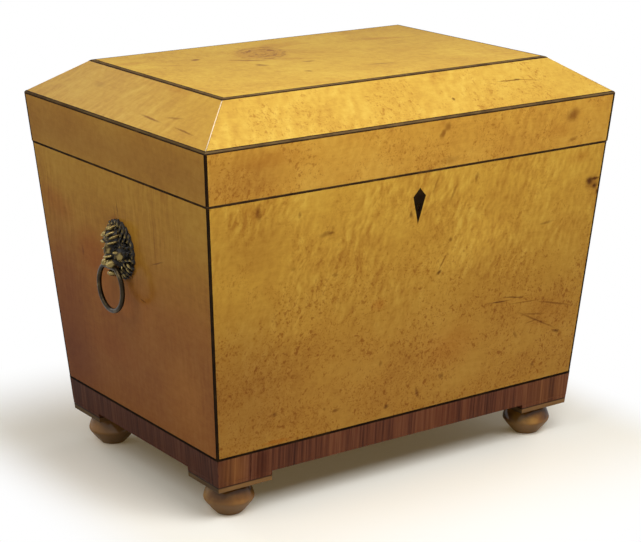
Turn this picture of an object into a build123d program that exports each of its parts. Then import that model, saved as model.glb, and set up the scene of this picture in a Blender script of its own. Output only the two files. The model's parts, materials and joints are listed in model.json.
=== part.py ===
from build123d import *
import os
from math import atan, cos, degrees, pi, radians, sin, sqrt, tan

# Antique cellarette of sarcophagus form: a tapered box with a hinged coffered lid, maple veneer,
# ebony strings, a rosewood base band and turned bun feet. Millimetres, +Z up, the front faces -Y,
# and the origin lies on the floor under the middle of the case.

# Outside form
lid_width = 560.0           # across the ends, at the widest arris
lid_depth = 403.0           # front to back, at the same arris
end_taper = 4.43            # lean of the two ends from upright, in degrees
front_taper = 5.19          # lean of the front and back
foot_height = 38.4
pad_strip_height = 7.2      # the light strip under each corner pad
pad_facing_height = 4.3     # the rosewood part of the pad
band_height = 27.4          # rosewood band without its string
base_string_height = 3.0
face_height = 288.0         # maple face from the base string to the lid joint
frieze_height = 59.0        # upright part of the lid
hip_run = 58.8              # sloping part of the lid, seen from above
hip_rise = 40.0

# Wood
veneer = 1.2
case_board = 12.0
bottom_board = 12.0
lid_board = 12.0
arris_string = 2.6          # square section, seen as wide on both faces
top_string = 3.2
joint_string = 1.3
lid_gap = 0.3               # between the lid and the case when shut
lid_overhang = 0.5          # the lid stands this much proud of the case
glue_gap = 0.1              # around everything let into wood

# Pads and feet
pad_length = 70.0
pad_depth = 64.5
foot_radius = 28.9
foot_neck_radius = 19.5
foot_base_radius = 14.4
foot_girth_height = 17.6
foot_inset = 34.3           # from the pad's outer corner to the foot's centre, in both directions
foot_bowl_bulge = (0.53, 0.47)      # a point of the bowl, as shares of its run and rise
foot_shoulder_bulge = (0.60, 0.55)  # the same for the shoulder over the girth
dowel_radius = 9.0
dowel_grip = 8.0            # how far the dowel reaches into the bottom board

# Bottle divider
divider_board = 6.0
divider_height = 140.0
divider_fit = 0.15
bottle_columns = 4
bottle_rows = 3

# Butt hinges
hinge_length = 60.0
hinge_inset = 115.0         # from the end of the lid to the hinge's middle
hinge_stand = 1.2           # pin axis behind the case's back
leaf_thickness = 1.8
leaf_width = 10.0
knuckle_radius = 3.0
knuckle_count = 5
knuckle_gap = 0.3
pin_radius = 1.5
pin_fit = 0.05

# Screws
screw_radius = 1.3
screw_head_radius = 2.6
screw_head_height = 1.4
screw_length = 9.0
screw_slot = 0.6
hinge_screw_pitch = 20.0

# Box lock, measured along the leaning front
lock_width = 64.0
lock_height = 46.0
lock_depth = 9.0
lock_bolt_length = 30.0
lock_bolt_height = 6.0
lock_bolt_thickness = 3.0
lock_bolt_drop = 9.0        # bolt centre below the top of the front
lock_tail_width = 14.0
lock_tail_height = 16.0
lock_slide_fit = 0.2
lock_throw = 8.0
lock_chamber_radius = 7.0
lock_screw_drop = 22.0
lock_screw_inset = 5.0      # from the end of the lock
key_pin_radius = 1.2
staple_offset = 16.0        # from the middle of the lock
staple_width = 3.0
staple_depth = 7.4
staple_gap = 1.4            # from the withdrawn bolt to the staple
staple_eye_height = 8.0
staple_eye_depth = 4.4
staple_foot = 2.4           # metal under the eye
staple_clearance = 0.8
link_plate_width = 7.6
link_screw_inset = 6.0

# Escutcheon
escutcheon_top_drop = 17.5  # apex below the lid joint
escutcheon_height = 42.3
escutcheon_width = 17.3
escutcheon_shoulder = 10.0  # widest point below the apex
keyhole_drop = 37.9         # keyhole below the lid joint
keyhole_radius = 2.4
keyhole_slot_width = 2.2
keyhole_slot_length = 7.5
keyhole_relief = 1.0        # the hole in the board is this much wider

# Lion masks and rings
mask_height = 71.0
mask_width = 65.0
mask_drop = 87.4            # mask centre below the lid joint
mane_thickness = 6.5
mane_lobes = 18
mane_lobe_radius = 5.6
mane_cheek_swell = 0.06     # widens the mane at the cheeks, as a share
face_half_width = 22.0
face_half_height = 27.0
face_height_off = 16.5
brow_half_width = 15.5
brow_half_height = 10.0
brow_height_off = 18.5
brow_rise = 19.0            # brow centre above the mask's centre
muzzle_half_width = 13.0
muzzle_half_height = 11.0
muzzle_height_off = 24.5
muzzle_drop = 12.0          # muzzle centre below the mask's centre
chin_half_width = 8.5
chin_half_height = 7.5
chin_height_off = 17.0
chin_drop = 22.5
mouth_half_width = 12.0
mouth_corner_radius = 10.0  # room for the ring to swing at the corners of the mouth
ring_radius = 26.8          # middle of the wire
ring_wire_radius = 2.75
ring_stand = 16.6           # pivot off the end face
ring_pivot_drop = 106.4     # pivot below the lid joint
ring_chord_half = 13.0
ring_fit = 0.08
mask_screw_radius = 2.0
mask_screw_head_radius = 5.0
mask_screw_head_height = 2.0
mask_screw_grip = 5.0
mask_screw_spread = 16.0    # screws above and below the mask's centre

# Levels above the floor
pad_level = foot_height
pad_facing_level = pad_level + pad_strip_height
band_level = pad_facing_level + pad_facing_height
band_top = band_level + band_height
face_level = band_top + base_string_height
joint_level = face_level + face_height
case_top = joint_level - lid_gap / 2
lid_base = joint_level + lid_gap / 2
arris_level = joint_level + frieze_height
arris_seat = arris_level - arris_string
top_level = arris_level + hip_rise
inside_floor = band_level + bottom_board

hip_angle = atan(hip_rise / hip_run)
top_half_width = lid_width / 2 - hip_run
top_half_depth = lid_depth / 2 - hip_run
top_string_drop = top_string * sin(hip_angle)
arris_reach = arris_string * cos(hip_angle)

overcut = 1.0               # how far a cutting shape runs past what it cuts
mitre_reach = 100.0         # depth of the wedges that cut the mitres
trim_margin = 20.0          # the same for what is trimmed all round


def flat_sided_solid(lower, upper):
    count = len(lower)
    faces = [Face(Wire.make_polygon(lower)), Face(Wire.make_polygon(upper))]
    for i in range(count):
        j = (i + 1) % count
        faces.append(Face(Wire.make_polygon([lower[i], lower[j], upper[j], upper[i]])))
    return Solid(Shell(faces))


# Half width and half depth of the tapered outline at a level
def outline(level, inset=0.0):
    drop = arris_level - level
    half_width = lid_width / 2 - drop * tan(radians(end_taper)) - inset
    half_depth = lid_depth / 2 - drop * tan(radians(front_taper)) - inset
    return half_width, half_depth


# The widest outline, taken straight up, for the mitres of the sloping hips
def arris_outline(level):
    return lid_width / 2, lid_depth / 2


def rectangle_at(level, half_width, half_depth):
    signs = ((-1, -1), (1, -1), (1, 1), (-1, 1))
    return [(sx * half_width, sy * half_depth, level) for sx, sy in signs]


def tapered_block(low, high, inset):
    return flat_sided_solid(rectangle_at(low, *outline(low, inset)),
                            rectangle_at(high, *outline(high, inset)))


def tapered_ring(low, high, outer_inset, inner_inset):
    inner = tapered_block(low - overcut, high + overcut, inner_inset)
    return tapered_block(low, high, outer_inset) - inner


# A box between two levels, centred on the case
def level_box(half_width, half_depth, low, high):
    return Pos(0, 0, (low + high) / 2) * Box(2 * half_width, 2 * half_depth, high - low)


# The part of a ring that belongs to one side, cut at the corner mitres
def one_side(ring, side, low, high, shape=outline):
    sign = -1 if side in ("front", "left") else 1
    sections = []
    for level in (low - overcut, high + overcut):
        half_width, half_depth = shape(level)
        wide, deep = half_width + trim_margin, half_depth + trim_margin
        narrow, shallow = half_width - mitre_reach, half_depth - mitre_reach
        if side in ("front", "back"):
            plan = [(-wide, sign * deep), (wide, sign * deep),
                    (narrow, sign * shallow), (-narrow, sign * shallow)]
        else:
            plan = [(sign * wide, -deep), (sign * wide, deep),
                    (sign * narrow, shallow), (sign * narrow, -shallow)]
        sections.append([(x, y, level) for x, y in plan])
    return ring & flat_sided_solid(*sections)


sides = ("front", "back", "left", "right")
corners = {"front_left": (-1, -1), "front_right": (1, -1), "back_left": (-1, 1), "back_right": (1, 1)}


def four_sides(ring, low, high, shape=outline):
    return {side: one_side(ring, side, low, high, shape) for side in sides}


# A post that fills the corner of the tapered outline
def corner_post(sx, sy, low, high, inset, size):
    sections = []
    for level in (low, high):
        half_width, half_depth = outline(level, inset)
        near_x, near_y = half_width - size, half_depth - size
        plan = [(half_width, half_depth), (near_x, half_depth), (near_x, near_y), (half_width, near_y)]
        sections.append([(sx * x, sy * y, level) for x, y in plan])
    return flat_sided_solid(*sections)


def corner_posts(low, high, inset, size):
    return [corner_post(sx, sy, low, high, inset, size) for sx, sy in corners.values()]


def cut(shape, *tools):
    for tool in tools:
        shape = shape - tool
    return shape


# A plane on the outer front face at the top of the case: x along the case, y up the slope, z outwards
def front_plane():
    lean = radians(front_taper)
    origin = (0, -outline(case_top, lid_overhang)[1], case_top)
    return Plane(origin=origin, x_dir=(1, 0, 0), z_dir=(0, -cos(lean), -sin(lean)))


# The same on the left end, at the centre of the lion mask: x runs to the front
def left_plane():
    lean = radians(end_taper)
    level = joint_level - mask_drop
    origin = (-outline(level, lid_overhang)[0], 0, level)
    return Plane(origin=origin, x_dir=(0, -1, 0), z_dir=(-cos(lean), 0, -sin(lean)))


# Sloping distance for a drop measured straight down the front
def down_front(drop):
    return drop / cos(radians(front_taper))


# The front plane moved down to the keyhole
def key_plane():
    return front_plane() * Pos(0, -down_front(keyhole_drop) + lid_gap / 2, 0)


# A countersunk screw with a slotted head, head upwards, its top at z = 0
def screw(length, radius=screw_radius, head_radius=screw_head_radius, head_height=screw_head_height):
    head = Solid.make_cone(radius, head_radius, head_height, Plane((0, 0, -head_height)))
    shank = Pos(0, 0, -(head_height + length) / 2) * Cylinder(radius, length - head_height)
    slot = Box(2 * head_radius + overcut, screw_slot, screw_slot)
    return head + shank - slot


# The same outline without its slot and a little larger, to make its hole
def screw_hole(length, radius=screw_radius, head_radius=screw_head_radius, head_height=screw_head_height):
    fit = glue_gap / 2
    head = Solid.make_cone(radius + fit, head_radius + fit, head_height, Plane((0, 0, -head_height)))
    mouth = Pos(0, 0, overcut / 2) * Cylinder(head_radius + fit, overcut)
    shank = Pos(0, 0, -(length + glue_gap) / 2) * Cylinder(radius + fit, length + glue_gap)
    return head + mouth + shank


# Strings

def string_ring(low, high, inset, depth):
    ring = tapered_ring(low, high, inset, inset + depth)
    return Compound(children=list(four_sides(ring, low, high).values()))


def base_string():
    return string_ring(band_top, face_level, lid_overhang, arris_string)


def case_joint_string():
    return string_ring(case_top - joint_string, case_top, lid_overhang, arris_string)


def lid_joint_string():
    return string_ring(lid_base, lid_base + joint_string, 0, arris_string)


def case_corner_strings():
    return corner_posts(face_level, case_top - joint_string, lid_overhang, arris_string)


def lid_corner_strings():
    return corner_posts(lid_base + joint_string, arris_seat, 0, arris_string)


# The lid's outside, made smaller by an even skin thickness
def lid_form(inset, low):
    skin = inset / sin(hip_angle)
    spread = (arris_level - low) * hip_run / hip_rise
    crown = top_level - inset
    crown_run = (crown - arris_level) * hip_run / hip_rise
    hips = flat_sided_solid(
        rectangle_at(low, lid_width / 2 + spread - skin, lid_depth / 2 + spread - skin),
        rectangle_at(crown, lid_width / 2 - crown_run - skin, lid_depth / 2 - crown_run - skin))
    return hips & tapered_block(low, top_level, inset)


# Half width and half depth of the flat ceiling inside the lid
def ceiling():
    skin = veneer + lid_board
    run = (hip_rise - skin) * hip_run / hip_rise + skin / sin(hip_angle)
    return lid_width / 2 - run, lid_depth / 2 - run


def arris_string_ring():
    half_width, half_depth = lid_width / 2 - arris_reach, lid_depth / 2 - arris_reach
    inner = level_box(half_width, half_depth, arris_seat - overcut, top_level)
    ring = (lid_form(0, lid_base) & level_box(lid_width, lid_depth, arris_seat, top_level)) - inner
    return four_sides(ring, arris_seat, top_level, arris_outline)


def top_string_ring():
    low = top_level - top_string_drop
    half_width, half_depth = top_half_width - top_string, top_half_depth - top_string
    inner = level_box(half_width, half_depth, low - overcut, top_level + overcut)
    ring = (lid_form(0, lid_base) & level_box(lid_width, lid_depth, low, top_level)) - inner
    return four_sides(ring, low, top_level, arris_outline)


# The case

def hinge_axis():
    return outline(joint_level, lid_overhang)[1] + hinge_stand


def hinge_centres():
    from_middle = lid_width / 2 - hinge_inset
    return -from_middle, from_middle


def leaf_edge():
    return hinge_axis() - knuckle_radius - knuckle_gap


# Room for a whole closed hinge in the case and the lid
def hinge_pocket(centre):
    half = hinge_length / 2 + glue_gap
    high = lid_gap / 2 + leaf_thickness + glue_gap / 2
    deep = leaf_edge() - leaf_width - glue_gap
    back = hinge_axis() + knuckle_radius
    leaves = Pos(centre, (deep + back) / 2, joint_level) * Box(2 * half, back - deep, 2 * high)
    barrel = Rot(0, 90, 0) * Cylinder(knuckle_radius + knuckle_gap, 2 * half)
    return leaves + Pos(centre, hinge_axis(), joint_level) * barrel


def hinge_screw_places(centre):
    y = leaf_edge() - leaf_width / 2
    return [(centre + step * hinge_screw_pitch, y) for step in (-1, 0, 1)]


def turn_over(shape):
    return Rot(180, 0, 0) * shape


def case_hinge_screws():
    return [Pos(x, y, case_top) * screw(screw_length)
            for centre in hinge_centres() for x, y in hinge_screw_places(centre)]


def lid_hinge_screws():
    return [Pos(x, y, lid_base) * turn_over(screw(screw_length))
            for centre in hinge_centres() for x, y in hinge_screw_places(centre)]


# One leaf with its knuckles, lying under (side -1) or over (side 1) the joint
def hinge_leaf(centre, side):
    inner_face = joint_level + side * lid_gap / 2
    middle = inner_face + side * leaf_thickness / 2
    plate_y = leaf_edge() - leaf_width / 2
    leaf = Pos(centre, plate_y, middle) * Box(hinge_length, leaf_width, leaf_thickness)
    step = hinge_length / knuckle_count
    own = 0 if side < 0 else 1
    for i in range(knuckle_count):
        if i % 2 == own:
            x = centre - hinge_length / 2 + (i + 0.5) * step
            long = step - knuckle_gap
            web = knuckle_radius + knuckle_gap + glue_gap
            leaf += Pos(x, hinge_axis() - web / 2, middle) * Box(long, web, leaf_thickness)
            leaf += Pos(x, hinge_axis(), joint_level) * Rot(0, 90, 0) * Cylinder(knuckle_radius, long)
    bore = Rot(0, 90, 0) * Cylinder(pin_radius + pin_fit, hinge_length + 2 * overcut)
    leaf -= Pos(centre, hinge_axis(), joint_level) * bore
    for x, y in hinge_screw_places(centre):
        hole = screw_hole(screw_length)
        leaf -= Pos(x, y, inner_face) * (hole if side < 0 else turn_over(hole))
    return leaf


def hinge_pin(centre):
    return Pos(centre, hinge_axis(), joint_level) * Rot(0, 90, 0) * Cylinder(pin_radius, hinge_length)


def lock_middle_depth():
    inner = -(veneer + case_board) * cos(radians(front_taper))
    return inner + lock_depth / 2


# A box in the leaning front's own directions
def front_box(x_range, up_range, out_range):
    spans = [high - low for low, high in (x_range, up_range, out_range)]
    middle = [(high + low) / 2 for low, high in (x_range, up_range, out_range)]
    return front_plane() * (Pos(*middle) * Box(*spans))


# The lock's outside, with a margin at its closed sides and an overrun at its open ones
def lock_outline(margin, overrun):
    half = lock_width / 2 + margin
    centre = lock_middle_depth()
    deep = (centre - lock_depth / 2 - overrun, centre + lock_depth / 2 + margin)
    block = front_box((-half, half), (-lock_height - margin, trim_margin), deep)
    return block & level_box(lid_width, lid_depth, face_level, case_top + overrun)


# The space between the bolt and the walls of its channel is the same on all sides
def bolt_ranges(margin, travel):
    end = staple_offset - staple_width / 2 - staple_gap
    x_range = (end - lock_bolt_length - margin, end + travel + margin)
    half_high = lock_bolt_height / 2 + margin
    up_range = (-lock_bolt_drop - half_high, -lock_bolt_drop + half_high)
    half_thick = lock_bolt_thickness / 2 + margin
    centre = lock_middle_depth()
    return x_range, up_range, (centre - half_thick, centre + half_thick)


def tail_ranges(margin, travel):
    half = lock_tail_width / 2 + margin
    x_range = (-half - lock_throw / 2, half - lock_throw / 2 + travel)
    low = -lock_bolt_drop - lock_bolt_height / 2 - lock_tail_height
    high = -lock_bolt_drop
    return x_range, (low - margin, high), bolt_ranges(margin, travel)[2]


def bolt_centre():
    return front_plane() * Pos(staple_offset, -lock_bolt_drop, lock_middle_depth())


def lock_case():
    case = lock_outline(0, 0)
    case -= front_box(*bolt_ranges(lock_slide_fit, lock_throw))
    case -= front_box(*tail_ranges(lock_slide_fit, lock_throw))
    key_place = key_plane() * Pos(0, 0, lock_middle_depth())
    chamber = Cylinder(lock_chamber_radius, lock_bolt_thickness + 2 * lock_slide_fit)
    mouth = Pos(0, 0, lock_depth / 2) * Cylinder(keyhole_radius, lock_depth)
    slot_place = Pos(0, -keyhole_slot_length / 2, lock_depth / 2)
    mouth += slot_place * Box(keyhole_slot_width, keyhole_slot_length, lock_depth)
    case -= key_place * chamber
    case -= key_place * mouth
    pin_length = lock_depth - overcut
    case += key_place * (Pos(0, 0, -overcut / 2) * Cylinder(key_pin_radius, pin_length))
    case -= staple_slot()
    for sx in (-1, 1):
        case -= lock_screw_place(sx) * screw_hole(screw_length)
    return case


def lock_screw_place(sx):
    centre = lock_middle_depth()
    back = centre - lock_depth / 2
    x = sx * (lock_width / 2 - lock_screw_inset)
    return front_plane() * Pos(x, -lock_screw_drop, back) * Rot(180, 0, 0)


def lock_screws():
    return [lock_screw_place(sx) * screw(screw_length) for sx in (-1, 1)]


def lock_bolt():
    bolt = front_box(*bolt_ranges(0, 0)) + front_box(*tail_ranges(0, 0))
    key_place = key_plane() * Pos(-lock_throw / 2, 0, lock_middle_depth())
    return bolt - key_place * Cylinder(lock_chamber_radius - overcut, lock_depth)


def staple_levels():
    eye = bolt_centre().position.Z
    return eye - staple_eye_height / 2 - staple_foot, eye


def staple_slot():
    low, eye = staple_levels()
    centre = bolt_centre().position
    high = case_top + overcut
    width = staple_width + 2 * staple_clearance
    depth = staple_depth + 2 * staple_clearance
    bottom = low - staple_clearance
    return Pos(centre.X, centre.Y, (bottom + high) / 2) * Box(width, depth, high - bottom)


# The plate let into the lid's front board, with the staple that the bolt catches
def link_plate(margin=0.0):
    centre = bolt_centre().position
    plate_size = (lock_width + 2 * margin, link_plate_width + 2 * margin, leaf_thickness + margin)
    return Pos(0, centre.Y, lid_base + plate_size[2] / 2) * Box(*plate_size)


def link_screw_places():
    x = lock_width / 2 - link_screw_inset
    return [(sx * x, bolt_centre().position.Y) for sx in (-1, 1)]


def link_plate_with_staple():
    centre = bolt_centre().position
    low, eye = staple_levels()
    high = lid_base + leaf_thickness / 2
    plate = link_plate()
    plate += Pos(centre.X, centre.Y, (low + high) / 2) * Box(staple_width, staple_depth, high - low)
    plate -= Pos(centre.X, centre.Y, eye) * Box(staple_width + overcut, staple_eye_depth, staple_eye_height)
    for x, y in link_screw_places():
        plate -= Pos(x, y, lid_base) * turn_over(screw_hole(screw_length))
    return plate


def link_screws():
    return [Pos(x, y, lid_base) * turn_over(screw(screw_length)) for x, y in link_screw_places()]


def kite():
    apex = -down_front(escutcheon_top_drop)
    shoulder = apex - down_front(escutcheon_shoulder)
    foot = apex - down_front(escutcheon_height)
    half = escutcheon_width / 2
    points = [(0, apex), (half, shoulder), (0, foot), (-half, shoulder)]
    return front_plane() * extrude(make_face(Polyline(*points, close=True)), 2 * veneer, both=True)


def keyhole(margin, length):
    slot_width = keyhole_slot_width + 2 * margin
    slot_length = keyhole_slot_length + margin
    hole = Cylinder(keyhole_radius + margin, length)
    hole += Pos(0, -slot_length / 2, 0) * Box(slot_width, slot_length, length)
    return key_plane() * Pos(0, 0, -length / 2 + overcut) * hole


def case_boards():
    ring = tapered_ring(inside_floor, case_top, lid_overhang + veneer, lid_overhang + veneer + case_board)
    ring = cut(ring, tapered_ring(band_top, face_level, lid_overhang, lid_overhang + arris_string))
    ring = cut(ring, tapered_ring(case_top - joint_string, case_top + overcut, lid_overhang,
                                  lid_overhang + arris_string))
    ring = cut(ring, *case_corner_strings())
    boards = four_sides(ring, inside_floor, case_top)
    boards["back"] = cut(boards["back"], *[hinge_pocket(c) for c in hinge_centres()])
    pilots = [Pos(x, y, case_top) * screw_hole(screw_length)
              for c in hinge_centres() for x, y in hinge_screw_places(c)]
    boards["back"] = cut(boards["back"], *pilots)
    front_cuts = [lock_outline(glue_gap, overcut), keyhole(keyhole_relief, case_board + veneer)]
    front_cuts += [lock_screw_place(sx) * screw_hole(screw_length) for sx in (-1, 1)]
    boards["front"] = cut(boards["front"], *front_cuts)
    left_holes = [place * mask_screw_hole() for place in mask_screw_places()]
    boards["left"] = cut(boards["left"], *left_holes)
    boards["right"] = cut(boards["right"], *[mirror(hole, about=Plane.YZ) for hole in left_holes])
    return boards


def bottom_panel():
    panel = tapered_block(band_level, inside_floor, lid_overhang + veneer)
    return cut(panel, *[foot_socket(sx, sy) for sx, sy in corners.values()])


def case_veneers():
    high = case_top - joint_string
    ring = tapered_ring(face_level, high, lid_overhang, lid_overhang + veneer)
    faces = four_sides(cut(ring, *case_corner_strings()), face_level, high)
    faces["back"] = cut(faces["back"], *[hinge_pocket(c) for c in hinge_centres()])
    faces["front"] = cut(faces["front"], kite())
    left_holes = [place * mask_screw_hole() for place in mask_screw_places()]
    faces["left"] = cut(faces["left"], *left_holes)
    faces["right"] = cut(faces["right"], *[mirror(hole, about=Plane.YZ) for hole in left_holes])
    return faces


def base_bands():
    ring = tapered_ring(band_level, band_top, lid_overhang, lid_overhang + veneer)
    return four_sides(ring, band_level, band_top)


def escutcheon():
    high = case_top - joint_string
    ring = tapered_ring(face_level, high, lid_overhang, lid_overhang + veneer)
    plate = one_side(ring, "front", face_level, high) & kite()
    return plate - keyhole(0, veneer + 2 * overcut)


# Pads and feet

def pad(sx, sy, low, high):
    sections = []
    inner_x, inner_y = outline(band_level, lid_overhang)
    for level in (low, high):
        half_width, half_depth = outline(level, lid_overhang)
        near_x, near_y = inner_x - pad_length, inner_y - pad_depth
        plan = [(half_width, half_depth), (near_x, half_depth), (near_x, near_y), (half_width, near_y)]
        sections.append([(sx * x, sy * y, level) for x, y in plan])
    return flat_sided_solid(*sections) - foot_socket(sx, sy)


def foot_centre(sx, sy):
    half_width, half_depth = outline(band_level, lid_overhang)
    return sx * (half_width - foot_inset), sy * (half_depth - foot_inset)


def dowel_length():
    return pad_strip_height + pad_facing_height + dowel_grip


def foot_socket(sx, sy):
    x, y = foot_centre(sx, sy)
    length = dowel_length() + glue_gap
    return Pos(x, y, foot_height + length / 2) * Cylinder(dowel_radius + glue_gap, length + glue_gap)


# A turned bun: a bowl up to the girth, a fuller shoulder above it and a dowel on top
def bun_foot(sx, sy):
    girth = (foot_radius, foot_girth_height)
    run, rise = foot_bowl_bulge
    low_bulge = (foot_base_radius + run * (foot_radius - foot_base_radius), rise * foot_girth_height)
    run, rise = foot_shoulder_bulge
    high_bulge = (foot_neck_radius + run * (foot_radius - foot_neck_radius),
                  foot_girth_height + rise * (foot_height - foot_girth_height))
    dowel_top = foot_height + dowel_length()
    profile = Line((0, 0), (foot_base_radius, 0))
    profile += ThreePointArc((foot_base_radius, 0), low_bulge, girth)
    profile += ThreePointArc(girth, high_bulge, (foot_neck_radius, foot_height))
    profile += Polyline((foot_neck_radius, foot_height), (dowel_radius, foot_height),
                        (dowel_radius, dowel_top), (0, dowel_top), (0, 0))
    x, y = foot_centre(sx, sy)
    return Pos(x, y, 0) * revolve(make_face(Plane.XZ * profile), Axis.Z)


# Bottle dividers, halved over each other

def divider_places():
    half_width, half_depth = outline(inside_floor, lid_overhang + veneer + case_board)
    column = (2 * half_width - (bottle_columns - 1) * divider_board) / bottle_columns
    row = (2 * half_depth - (bottle_rows - 1) * divider_board) / bottle_rows
    across = [(i - bottle_columns / 2) * (column + divider_board) for i in range(1, bottle_columns)]
    along = [(i - bottle_rows / 2) * (row + divider_board) for i in range(1, bottle_rows)]
    return across, along


def dividers():
    inset = lid_overhang + veneer + case_board + divider_fit
    high = inside_floor + divider_height
    room = tapered_block(inside_floor, high, inset)
    across, along = divider_places()
    middle = (inside_floor + high) / 2
    slot = divider_board + 2 * divider_fit
    notch = divider_height / 2 + divider_fit
    boards = {}
    for i, y in enumerate(along):
        board = room & Pos(0, y, middle) * Box(lid_width, divider_board, 2 * divider_height)
        for x in across:
            board -= Pos(x, y, high - notch / 2) * Box(slot, 2 * slot, notch)
        boards[("front", "back")[i] if len(along) == 2 else str(i + 1)] = ("long", board)
    names = ("left", "middle", "right") if len(across) == 3 else [str(i + 1) for i in range(len(across))]
    for name, x in zip(names, across):
        board = room & Pos(x, 0, middle) * Box(divider_board, lid_depth, 2 * divider_height)
        for y in along:
            board -= Pos(x, y, inside_floor + notch / 2) * Box(2 * slot, slot, notch)
        boards[name] = ("cross", board)
    return boards


# The lid

def lid_boards():
    shell = lid_form(veneer, lid_base) - lid_form(veneer + lid_board, lid_base - overcut)
    strings = [*arris_string_ring().values(), *top_string_ring().values(), *lid_corner_strings()]
    strings.append(tapered_ring(lid_base - overcut, lid_base + joint_string, 0, arris_string))
    shell = cut(shell, *strings)
    half_width, half_depth = ceiling()
    frieze = shell & level_box(lid_width, lid_depth, lid_base, arris_seat)
    upper = shell & level_box(lid_width, lid_depth, arris_seat, top_level)
    middle = level_box(half_width, half_depth, arris_seat, top_level)
    hips = four_sides(upper - middle, arris_seat, top_level, arris_outline)
    friezes = four_sides(frieze, lid_base, arris_seat)
    friezes["back"] = cut(friezes["back"], *[hinge_pocket(c) for c in hinge_centres()])
    pilots = [Pos(x, y, lid_base) * turn_over(screw_hole(screw_length))
              for c in hinge_centres() for x, y in hinge_screw_places(c)]
    friezes["back"] = cut(friezes["back"], *pilots)
    link_holes = [Pos(x, y, lid_base) * turn_over(screw_hole(screw_length)) for x, y in link_screw_places()]
    friezes["front"] = cut(friezes["front"], link_plate(glue_gap), *link_holes)
    return friezes, hips, upper & middle


def lid_veneers():
    shell = lid_form(0, lid_base) - lid_form(veneer, lid_base - overcut)
    low = lid_base + joint_string
    frieze = cut(shell & level_box(lid_width, lid_depth, low, arris_seat), *lid_corner_strings())
    friezes = four_sides(frieze, low, arris_seat)
    friezes["back"] = cut(friezes["back"], *[hinge_pocket(c) for c in hinge_centres()])
    slope_top = top_level - top_string_drop
    half_width, half_depth = lid_width / 2 - arris_reach, lid_depth / 2 - arris_reach
    slopes = shell & level_box(half_width, half_depth, arris_seat, slope_top)
    hips = four_sides(slopes, arris_seat, slope_top, arris_outline)
    half_width, half_depth = top_half_width - top_string, top_half_depth - top_string
    top = shell & level_box(half_width, half_depth, slope_top, top_level)
    return friezes, hips, top


# Lion mask and ring

def mask_screw_places():
    back = -(veneer + case_board) * cos(radians(end_taper))
    return [left_plane() * Pos(0, step * mask_screw_spread, back) * Rot(180, 0, 0) for step in (-1, 1)]


def mask_screw():
    length = veneer + case_board + mask_screw_grip
    head = Pos(0, 0, mask_screw_head_height / 2) * Cylinder(mask_screw_head_radius, mask_screw_head_height)
    slot_length = 2 * mask_screw_head_radius + overcut
    slot = Pos(0, 0, mask_screw_head_height) * Box(slot_length, screw_slot, 2 * screw_slot)
    return head + Pos(0, 0, -length / 2) * Cylinder(mask_screw_radius, length) - slot


def mask_screw_hole():
    length = veneer + case_board + mask_screw_grip + glue_gap
    return Pos(0, 0, -length / 2) * Cylinder(mask_screw_radius + glue_gap / 2, length + glue_gap)


def mask_screws():
    left = [place * mask_screw() for place in mask_screw_places()]
    return left + [mirror(one, about=Plane.YZ) for one in left]


# A rounded boss: half an ellipse turned about the axis that stands off the face
def boss(half_width, half_height, height_off, rise):
    arc = EllipticalCenterArc((0, 0), half_width, height_off, start_angle=0, arc_size=90)
    outline_face = make_face(Plane.XZ * (arc + Polyline((0, height_off), (0, 0), (half_width, 0))))
    dome = revolve(outline_face, Axis.Z)
    return Pos(0, rise, 0) * scale(dome, by=(1, half_height / half_width, 1))


# The scalloped edge of the mane, wider at the cheeks than at the crown
def mane():
    half_width = mask_width / 2 - mane_lobe_radius
    half_height = mask_height / 2 - mane_lobe_radius
    shape = Ellipse(half_width, half_height)
    for i in range(mane_lobes):
        turn = radians(90 + 360 * i / mane_lobes)
        swell = 1 + mane_cheek_swell * (1 - sin(turn)) * abs(cos(turn))
        shape += Pos(half_width * cos(turn) * swell, half_height * sin(turn)) * Circle(mane_lobe_radius)
    return extrude(shape, mane_thickness)


def ring_pivot():
    level = joint_level - ring_pivot_drop
    return -(outline(level, lid_overhang)[0] + ring_stand), level


def lion_mask():
    head = mane()
    head += boss(face_half_width, face_half_height, face_height_off, 0)
    head += boss(brow_half_width, brow_half_height, brow_height_off, brow_rise)
    head += boss(muzzle_half_width, muzzle_half_height, muzzle_height_off, -muzzle_drop)
    head += boss(chin_half_width, chin_half_height, chin_height_off, -chin_drop)
    mask = left_plane() * head
    x, z = ring_pivot()
    bore = Pos(x, 0, z) * Rot(90, 0, 0) * Cylinder(ring_wire_radius + ring_fit, mask_width)
    corner_room = mask_width / 2 - mouth_half_width
    for sy in (-1, 1):
        y = sy * (mouth_half_width + corner_room / 2)
        mask -= Pos(x, y, z) * Rot(90, 0, 0) * Cylinder(mouth_corner_radius, corner_room)
    mask -= bore
    return cut(mask, *[place * mask_screw_hole() for place in mask_screw_places()])


# A ring whose top is a straight bar, held in the lion's mouth
def handle_ring():
    x, pivot = ring_pivot()
    centre = pivot - sqrt(ring_radius ** 2 - ring_chord_half ** 2)
    turn = degrees(2 * (pi - atan(ring_chord_half / (pivot - centre))))
    start = Plane(origin=(x, ring_chord_half, pivot), x_dir=(1, 0, 0),
                  z_dir=(0, pivot - centre, -ring_chord_half))
    wire = start * Circle(ring_wire_radius)
    axis = Axis((x, 0, centre), (-1, 0, 0))
    ring = revolve(wire, axis, turn)
    ring += Pos(x, 0, pivot) * Rot(90, 0, 0) * Cylinder(ring_wire_radius, 2 * ring_chord_half)
    for sy in (-1, 1):
        ring += Pos(x, sy * ring_chord_half, pivot) * Sphere(ring_wire_radius)
    return ring


def solids_of(shapes):
    found = []
    for shape in shapes:
        found += shape.solids()
    return found


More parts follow.
